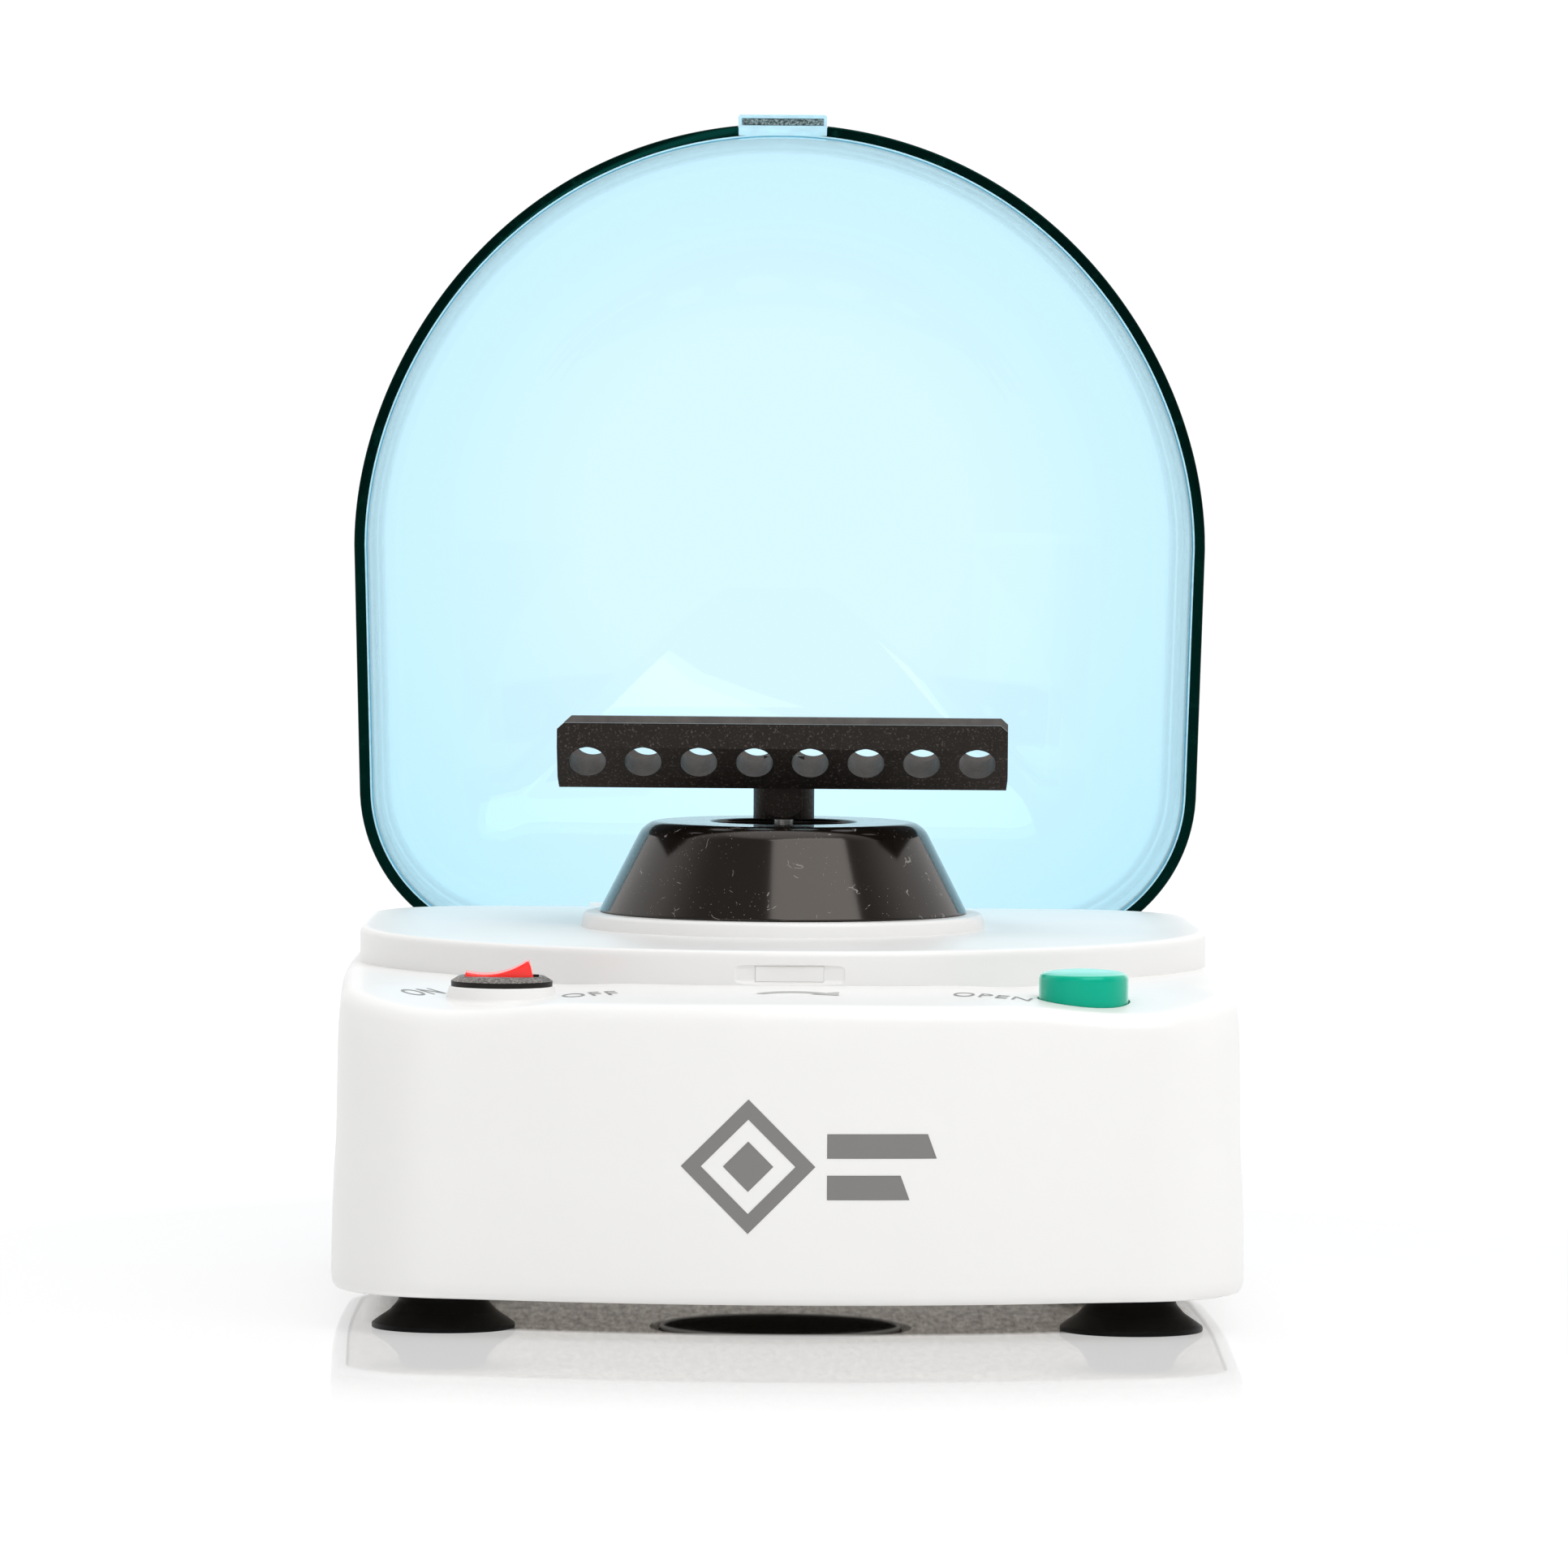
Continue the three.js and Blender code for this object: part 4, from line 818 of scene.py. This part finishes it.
def cross_screw(x, y):
    """A pan screw seen from below, with a cross recess in its head."""
    head_r, head_z, shank_r, tip_z = 3.0, 6.15, 1.35, 17
    line = [(0, head_z), (head_r * 0.8, head_z), (head_r, head_z + 0.5), (head_r, head_z + 1.1),
            (shank_r, head_z + 1.1), (shank_r, tip_z - 1), (0, tip_z)]
    slots = [box(x - a, x + a, y - b, y + b, head_z - 1, head_z + 0.75)
             for a, b in ((1.5, 0.25), (0.25, 1.5))]
    return cut(lathe(fillet(line, [0, 0.5, 0.3, 0.1]), 64, x, y), *slots)


piece(bottom_plate(), "base_plate", "base", "dark_base", PLATE_GREY, "bottom_plate")
piece(motor_cap(), "drive_cap", "base", "black_gloss", CAP_BLACK, "motor_cap")
piece(cap_highlight_ring(), "drive_cap_highlight_ring", "base", "black_gloss", CAP_HIGHLIGHT)
for side, x in (("left", -FOOT_X), ("right", FOOT_X)):
    for end, y in (("front", FOOT_FRONT_Y), ("rear", FOOT_REAR_Y)):
        piece(suction_foot(x, y), f"suction_{end}_{side}", "base", "black_rubber", RUBBER,
              f"foot_{end}_{side}")
for i, (x, y) in enumerate(PLATE_SCREWS, 1):
    piece(cross_screw(x, y), f"base_screw_{i}", "base", "zinc_steel", ZINC, f"plate_screw_{i}")


# ---- drive
def cowl():
    line = [(25.6, 57.4), (25.6, CONE_BASE_Z), (CONE_BASE_R, CONE_BASE_Z), (23.15, 75.2),
            (21.4, CONE_TOP_Z), (CONE_MOUTH_R, CONE_TOP_Z), (CONE_MOUTH_R, 74.4), (19.6, 74.4),
            (20.6, 73.6), (24.0, 66.9), (24.0, 57.4)]
    return lathe(fillet(line, [0, 0, 0.3, 4.0, 3.2, 0.6, 0.2, 0.5, 0.5, 0.5, 0], 9), 220)


def bearing_boss():
    line = [(2.0, 71.7), (6.4, 71.7), (6.4, 75.6), (4.4, 75.6), (4.1, 75.2), (2.0, 75.2)]
    return lathe(fillet(line, [0, 0, 0.45, 0.15, 0.15]), 96)


def shaft():
    line = [(0, 13), (1.25, 13), (SHAFT_R, 13.4), (SHAFT_R, 85.1), (1.2, 85.6), (0, 85.6)]
    return lathe(fillet(line, [0, 0.1, 0.1, 0.1, 0.1]), 64)


def strip_rotor():
    slope, lip, thick, floor = tan(TUBE_SLOPE), 88.9, 5.33, 84.5
    corner, fall, taper = 1.1, 1.0, 0.35

    def outer_at(z):
        return ROTOR_HALF_DEPTH + (z - lip) * slope

    right = [(outer_at(ROTOR_BOTTOM), ROTOR_BOTTOM), (ROTOR_HALF_DEPTH, lip),
             (ROTOR_HALF_DEPTH, ROTOR_TOP), (outer_at(ROTOR_TOP) - thick, ROTOR_TOP),
             (outer_at(floor) - thick, floor)]
    bar = prism(right + [(-y, z) for y, z in reversed(right)], -ROTOR_HALF, ROTOR_HALF, "X")
    end = [(ROTOR_HALF - taper, ROTOR_BOTTOM - 1), (ROTOR_HALF, 84), (ROTOR_HALF, ROTOR_TOP - fall),
           (ROTOR_HALF - corner, ROTOR_TOP), (ROTOR_HALF - corner, 95)]
    ends = [(-x, z) for x, z in end[:1]] + end + [(-x, z) for x, z in end[:0:-1]]
    bar = combine(bar, "INTERSECT", prism(ends, -30, 30, "Y"))
    bar = add(bar, drum(0, 0, 4.95, 77.0, 83, 96), drum(0, 0, 3.3, 83.5, 87.2))
    bow = [(3.1 * cos(a), 79.2 + 1.9 * sin(a)) for a in (pi * (1 + i / 16) for i in range(1, 16))]
    tongue = [(-3.1, 83), (-3.1, 79.2), *bow, (3.1, 79.2), (3.1, 83)]
    for side in (-1, 1):
        bar = add(bar, prism(tongue, *sorted((side * 3, side * 5.15)), "Y"))
    holes = [drum(0, 0, SHAFT_R + 0.05, 76, 85.9, 48)]
    for side in (-1, 1):
        # the wide end faces inward and up, the narrow end outward and down
        tip = turn(side * (pi / 2 - TUBE_SLOPE), "X")
        holes += [place(lathe([(0, -7), (2.9, -7), (3.15, 7), (0, 7)], 48),
                        shift((i - 3.5) * TUBE_PITCH, side * 13.05, 87.9) @ tip) for i in range(8)]
    return place(soften(cut(bar, *holes), 0.22, 30, 2), turn(ROTOR_TURN, "Z"))


piece(cowl(), "drive_cowl", "base", "black_gloss", COWL_BLACK, "cone_cowl", sharp=50)
piece(bearing_boss(), "drive_boss", "base", "black_gloss", BOSS_BLACK, "motor_bearing_boss")
piece(place(shaft(), turn(ROTOR_TURN, "Z")), "motor_shaft", "spindle", "bright_steel", STEEL,
      "drive_shaft")
# painted light: the faces that look up, which catch the lamps, get the paler copy of the black
piece(strip_rotor(), "tube_rotor", "rotor", "black_matte", [ROTOR_BLACK, ROTOR_LIT_TOP], "strip_rotor",
      sharp=40, which=lambda face: face.normal.z > 0.2 and face.center.z > 80)


# ---- lid
SIDE, CROWN = 23, 48.0           # inset where the crown begins, and how far it goes on from there
LID_PROFILE = [(0, 54.2), (0.7, 72), (2.0, 85), (4.4, 94.5), (8.4, 102), (14.4, 108), (SIDE, 112.2),
               (SIDE + CROWN * 0.45, LID_TOP_Z - 0.6), (SIDE + CROWN * 0.8, LID_TOP_Z),
               (SIDE + CROWN * 0.985, LID_TOP_Z)]
RIM_PALE, RIM_TEAL = 0.48, 0.22
OPENED = shift(0, HINGE_Y, HINGE_Z) @ turn(-pi / 2, "X") @ shift(0, -HINGE_Y, -HINGE_Z)


def lid_ring(d, z, extra=0.0, fall=0.0):
    if d <= SIDE:
        return d_ring(LID, d + extra, z - fall)
    last = d_ring(LID, SIDE + extra, 0)
    return np.column_stack([last[:, :2] * (1 - (d - SIDE) / CROWN), np.full(len(last), z - fall)])


def lid_shape():
    rows = smooth_rows(LID_PROFILE, [6, 5, 5, 5, 5, 5, 5, 4, 3])[1:]
    outer = [lid_ring(d, z) for d, z in rows]
    inner = [lid_ring(d, z, LID_WALL, LID_WALL * min(max(z - 54.2, 0) / 47.8, 1)) for d, z in rows]
    lip = [(LID_WALL, 54.65), (LID_WALL - 0.1, 54.42), (LID_WALL - 0.3, 54.26),
           (LID_WALL - RIM_TEAL, 54.21), (LID_WALL - RIM_PALE, 54.2), (0.3, 54.2), (0.09, 54.34),
           (0.0, 54.55)]
    dome = loft(inner[::-1] + [d_ring(LID, d, z) for d, z in lip] + outer)
    for side in (-1, 1):
        dome = add(dome, hinge_lug(side * 20.4, side * 26.0, HINGE_Y, 66.4, 54.6, 59.4, 2.4, 40))
    return cut(dome, prism(circle(HINGE_Y, HINGE_Z, PIN_R + 0.08, 40), -40, 40, "X"),
               box(26.1, 31.9, 65.2, 69, 53, 61.0), box(-31.9, -26.1, 65.2, 69, 53, 61.0),
               box(-7.5, 7.5, -74, -68.9, 53, 59.6))


def depth_in_rim(points):
    """How far in from the lid's outline each (x, y) lies."""
    a = d_outline(**LID)
    way = np.roll(a, -1, 0) - a
    length = np.maximum((way * way).sum(1), 1e-12)
    out = []
    for p in points:
        t = np.clip(((p - a) * way).sum(1) / length, 0, 1)
        out.append(np.linalg.norm(a + way * t[:, None] - p, axis=1).min())
    return np.array(out)


def lid():
    """The cover, with its rim's underside in three bands of painted light and shade: dark edge, pale, teal.
    """
    ob = lid_shape()
    centre = np.array([face.center for face in ob.data.polygons])
    down = np.array([face.normal.z for face in ob.data.polygons]) < -0.2
    low = (centre[:, 2] < 54.7) & down
    band = np.zeros(len(centre), int)
    depth = depth_in_rim(centre[low, :2])
    kind = np.where(depth < LID_WALL - RIM_PALE, 1, np.where(depth < LID_WALL - RIM_TEAL, 2, 3))
    band[low] = np.where(depth > LID_WALL + 0.3, 0, kind)
    piece(place(ob, OPENED), "clear_cover", "lid", "clear_blue", [LID_CLEAR, LID_EDGE, LID_PALE, LID_TEAL],
          "clear_lid", sharp=40, which=lambda face: band[face.index])


def catch_pad():
    """The block on the lid's front edge, with a pocket for the nose and a dark groove."""
    outline = [(-7.4, -68.75), (-7.45, -72.0), (-7.1, -72.3), (7.1, -72.3), (7.45, -72.0),
               (7.4, -68.75)]
    pad = cut(prism(outline, LID_RIM_Z - 0.05, 59.5),
              box(-6.9, 6.9, -71.65, -70.45, 53.5, LID_RIM_Z + 0.35),
              box(-6.5, 6.5, -70.3, -66, 54.95, 57.0))
    return soften(pad, 0.18, 40, 3)


def lid_spring(side):
    """A torsion spring round the hinge pin, one leg on the shell and one on the lid."""
    turns, per, r, inner_x, width = 3, 40, 1.9, 14.4, 3.4
    points = []
    for i in range(turns * per + 1):
        t = i / (turns * per)
        a = 2 * pi * turns * t
        points.append((side * (inner_x + width * t), HINGE_Y + r * cos(a), HINGE_Z + r * sin(a)))
    end = points[-1]
    lead = [(side * inner_x, HINGE_Y + r, HINGE_Z - 1.8 + 0.3 * i) for i in range(6)]
    tail = [(end[0] + side * 0.05, end[1] + 0.02, end[2] + 0.6 * i) for i in range(1, 12)]
    return place(tube(lead + points + tail, 0.3), OPENED)


lid()
# the catch pad is clear plastic: its solid pale blue is painted light, as on the rim
piece(place(catch_pad(), OPENED), "cover_catch", "lid", "clear_blue", LID_BLOCK, "clear_lid", sharp=40)
# painted shade: a dark strip laid in the pad's groove
strip = soften(box(-6.8, 6.8, -71.6, -70.5, LID_RIM_Z + 0.2, LID_RIM_Z + 0.6), 0.1, 40, 2)
piece(place(strip, OPENED), "cover_catch_groove", "lid", "clear_blue", LID_ROUGH, "clear_lid", sharp=40)
for side, label in ((-1, "left"), (1, "right")):
    piece(lid_spring(side), f"cover_spring_{label}", "lid", "bright_steel", STEEL, f"lid_spring_{label}",
          sharp=60)
pin = soften(prism(circle(HINGE_Y, HINGE_Z, PIN_R), -33.5, 33.5, "X"), 0.2, 40, 3)
piece(pin, "cover_pin", "base", "bright_steel", STEEL, "hinge_pin")


# ---- controls
def bezel():
    line = [(0, 38.5), (6.9, 38.5), (7.2, 39), (7.2, 54.4), (7.9, 53.9), (7.95, 54.85), (6.7, BEZEL_TOP),
            (6.4, BEZEL_TOP), (0, BEZEL_TOP - 0.1)]
    ring = lathe(fillet(line, [0, 0.2, 0.2, 0, 0.1, 0.12, 0.3, 0.3]), 128, SWITCH_X, CONTROL_Y)
    return cut(ring, box(SWITCH_X - 5.8, SWITCH_X + 5.8, CONTROL_Y - 3.4, CONTROL_Y + 3.4, 47.5, 57))


def rocker():
    top = [(u, 4.2 - 1.15 * (1 - (u / 5) ** 2)) for u in (-5.0 + 10 * i / 24 for i in range(25))]
    side = [(5.2, 3.2), (5.3, 0.6), (4.4, -1.6), (1.2, -3.4)]
    key = prism(top + side + [(-u, v) for u, v in reversed(side)], -3.1, 3.1, "Y")
    key = soften(key, 0.3, 30, 4)
    return place(key, shift(SWITCH_X, CONTROL_Y, ROCKER_PIVOT_Z) @ turn(-ROCKER_TILT, "Y"))


def button():
    line = [(5.3, 47.7), (BUTTON_R, 47.7), (BUTTON_R, BUTTON_TOP - 0.35), (5.0, BUTTON_TOP + 0.1),
            (2.5, BUTTON_TOP + 0.33), (0, BUTTON_TOP + 0.4)]
    cap = lathe(fillet(line, [0, 0.15, 1.3, 1.6, 4.0], 8) + [(0, 54.6), (5.3, 54.6)], 128, BUTTON_X,
                CONTROL_Y)
    leg = prism([(-71.0, 50), (-71.0, 38.7), (-68.9 - 0.6 * 3.3, 38.7), (-68.9, 42.0), (-68.9, 50)],
                BUTTON_X - 2.4, BUTTON_X + 2.4, "X")
    return add(cap, leg)


def latch():
    """The catch behind the front pocket: a nose, a collar that hides its gap, and a push bar."""
    nose = soften(box(-LATCH_HALF, LATCH_HALF, -67.62, -63.5, 54.4, 56.9), 0.14, 40, 3)
    collar = box(-8.6, 8.6, -65.6, -64.6, 54.3, 56.7)
    stem = box(-8.8, 8.8, -64.9, -63.0, 37, 56.6)
    bar = box(-8.8, BUTTON_X + 2.4, -64.9, -62, 37, 41.2)
    ramp = prism([(-71.54, 37), (-62, 37), (-62, 41.2), (-69.02, 41.2)], BUTTON_X - 2.4,
                 BUTTON_X + 2.4, "X")
    return add(nose, collar, stem, bar, ramp, prism(circle(0, 52.6, 1.1, 32), -64, -61.2, "Y"))


def coil(name, node, centre, radius, wire, start, end, axis):
    """A compression spring from start to end. Its still end is the low end of an upright one, the far end
    of one that lies along Y."""
    turns, per = 4, 36
    points = []
    for i in range(turns * per + 1):
        t = i / (turns * per)
        a = 2 * pi * turns * t
        along = start + wire + (end - start - 2 * wire) * t
        u, v = centre[0] + radius * cos(a), centre[1] + radius * sin(a)
        points.append((u, v, along) if axis == "Z" else (u, along, v))
    spring = piece(tube(points, wire), name, "base", "bright_steel", STEEL, node)
    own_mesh(spring)


piece(bezel(), "rocker_bezel", "base", "black_matte", [BEZEL_BLACK, BEZEL_SIDE], "switch_bezel", sharp=40,
      which=lambda face: face.normal.z < 0.4)
piece(latch(), "catch_slide", "latch", "white_shell", WHITE, "latch_slide", sharp=40)
piece(rocker(), "rocker_key", "rocker", "red_rocker", ROCKER_RED, "power_rocker", sharp=45)
# painted highlight: the button's top faces get the paler green
piece(button(), "lid_button", "button", "green_button", [BUTTON_GREEN, BUTTON_TOP_SHEEN], "open_button",
      sharp=45, which=lambda face: face.normal.z > 0.8 and face.center.z > 55)
coil("button_coil", "button_spring", (BUTTON_X, CONTROL_Y), 3.6, 0.4, 44.55, 54.35, "Z")
coil("catch_coil", "latch_spring", (0, 52.6), 1.75, 0.3, -62.8, -54.9, "Y")


# ---- power inlet
def inlet():
    """The socket in the back wall: turned upright, then tipped to face backwards."""
    line = [(0, 1.0), (0.75, 1.0), (1.0, 1.2), (1.0, 11.6), (3.2, 11.6), (3.2, 1.0), (3.2, -1.5),
            (7.4, -1.5), (7.4, -0.15), (5.5, -0.15), (5.5, 12.6), (0, 12.6)]
    socket = lathe(fillet(line, [0, 0.2, 0.1, 0, 0, 0, 0.25, 0.4, 0.1, 0]), 96)
    return place(socket, shift(INLET_X, 72.6, INLET_Z) @ turn(pi / 2, "X"))


piece(inlet(), "power_socket", "base", "black_matte", PLASTIC_BLACK, "power_inlet", sharp=40)

LEFT_AS_BUILT = [
    (STEEL, "motor_can"), (PLASTIC_BLACK, "motor_end_bell lid_sensor"), (WINDING, "armature"),
    (FERRITE, "motor_magnet_left motor_magnet_right"), (BOARD, "circuit_board"),
    (RUBBER, "motor_damper_1 motor_damper_2 motor_damper_3"),
    (ZINC, "motor_bracket motor_screw_1 motor_screw_2 motor_screw_3 inlet_nut"),
    (BRASS, "switch_terminal_live switch_terminal_load")]
for look, names in LEFT_AS_BUILT:
    for name in names.split():
        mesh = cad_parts[name].data
        mesh.materials.clear()
        mesh.materials.append(look)


# ---- stage
FLOOR_HALF, FLOOR_WHITE, FLOOR_SHADOW = 14.0, (0.97, 0.97, 0.97), (0.02, 0.02, 0.02)
FLOOR_GLOSS, FLOOR_HAZE, BACKDROP = 0.74, 0.42, 1.06
# the painted shadow beneath the body ends on a bow in front, at both sides and behind; further out the
# floor fades
BOW_CENTRE, BOW_EDGE = (0.0, 51.5 * MM + AXIS_Y, 0.0), (0.135, 0.130)
SIDE_EDGE, REAR_EDGE, FADE, FADE_SHAPE = (0.067, 0.060), (0.050, 0.040), (0.125, 0.26), (1.25, 1.0, 1.0)
WORLD_FRONT, WORLD_BACK, WORLD_TOP = 0.34, 1.1, 1.6


def make_floor():
    """A pale glossy table with a painted shadow beneath the object, and the backdrop's white further out.
    """
    look = Look("floor_white", FLOOR_WHITE, 0.9, Specular_IOR_Level=0.0)
    bow = look.window(look.vector("DISTANCE", look.place, BOW_CENTRE), *BOW_EDGE)
    across = look.window(look.maths("ABSOLUTE", look.axis(look.place, "X")), *SIDE_EDGE)
    # painted shadow: the floor's colour turns dark beneath the body
    shadow_patch = look.maths("MULTIPLY", look.maths("MULTIPLY", bow, across),
                       look.window(look.axis(look.place, "Y"), *REAR_EDGE))
    look.tone(shadow_patch, FLOOR_WHITE, FLOOR_SHADOW)
    far = look.vector("LENGTH", look.vector("MULTIPLY", look.place, FADE_SHAPE))
    away = look.maths("MAXIMUM", look.window(far, *FADE, soft=True),
                      look.window(shadow_patch, 0.0, 1.0, FLOOR_HAZE, 0.0))
    away = look.maths("MULTIPLY", away, look.window(look.ray("Diffuse"), 0.9, 0.1))
    shine = look.window(look.node("LayerWeight", {}, "Facing"), 0.45, 0.92, 0.04, FLOOR_GLOSS)
    near = look.shaders(shine, look.shader.outputs[0], look.node("BsdfGlossy", {"Roughness": 0.03}))
    look.surface(look.shaders(away, near, look.node("Emission", {"Strength": BACKDROP})))
    mesh = bpy.data.meshes.new("floor")
    mesh.from_pydata([(x * FLOOR_HALF, y * FLOOR_HALF, 0) for x, y in ((-1, -1), (1, -1), (1, 1), (-1, 1))],
                     [], [(0, 1, 2, 3)])
    mesh.materials.append(look.material)
    link("floor", mesh)


def make_world():
    """A white tent: bright behind and above, dimmer on the camera's side."""
    world = bpy.context.scene.world = bpy.data.worlds.new("tent")
    world.use_nodes = True
    world.node_tree.nodes.clear()
    tent = Tree(world.node_tree)
    way = tent.node("TexCoord", {}, "Generated")
    depth = tent.window(tent.axis(way, "Y"), -0.35, 0.25, WORLD_FRONT, WORLD_BACK, soft=True)
    height = tent.window(tent.axis(way, "Z"), 0.80, 0.96, 0.0, WORLD_TOP, soft=True)
    seen = tent.maths("MAXIMUM", tent.ray("Camera"), tent.ray("Transmission"))
    light, plain = (tent.node("Background", {"Color": (1, 1, 1), "Strength": strength})
                    for strength in (tent.maths("MAXIMUM", depth, height), BACKDROP))
    out = tent.nodes.new("ShaderNodeOutputWorld")
    tent.feed(out.inputs["Surface"], tent.shaders(seen, light, plain))


def panel(name, width, height, radiance, location, rotation):
    """A soft lamp that isn't itself seen."""
    data = bpy.data.lights.new(name, "AREA")
    data.shape, data.size, data.size_y = "RECTANGLE", width, height
    data.energy = radiance * pi * width * height
    lamp = link(name, data)
    lamp.location, lamp.rotation_euler, lamp.visible_camera = location, rotation, False
    return lamp


def softbox(name, azimuth, elevation, distance, width, height, radiance):
    """A panel that faces the rotor. Azimuth 0 is the camera's side, positive to the right."""
    a, e = radians(azimuth), radians(elevation)
    way = Vector((sin(a) * cos(e), -cos(a) * cos(e), sin(e)))
    panel(name, width, height, radiance, Vector((0, AXIS_Y, 0.07)) + way * distance,
          (-way).to_track_quat("-Z", "Y").to_euler())


make_floor()
make_world()
softbox("key_panel", 26, 46, 1.5, 1.3, 1.0, 2.9)
softbox("low_panel", -30, 12, 2.6, 1.2, 1.2, 0.7)
# the flat of the raised cover mirrors this small card beside the camera
panel("small_card", 0.087, 0.50, 5.0, (-0.030, AXIS_Y - 2.078, 0.42), (pi / 2, 0.13, 0))
# light that the pale floor passes up to the underside of the body
glow = panel("underglow", 0.124, 0.150, 0.75, (0, AXIS_Y - 0.012, 0.0006), (pi, 0, 0))
glow.visible_glossy = glow.visible_transmission = False

view = bpy.context.scene.view_settings
view.view_transform, view.look = "Standard", "None"
view.exposure, view.gamma = 0.0, 1.0
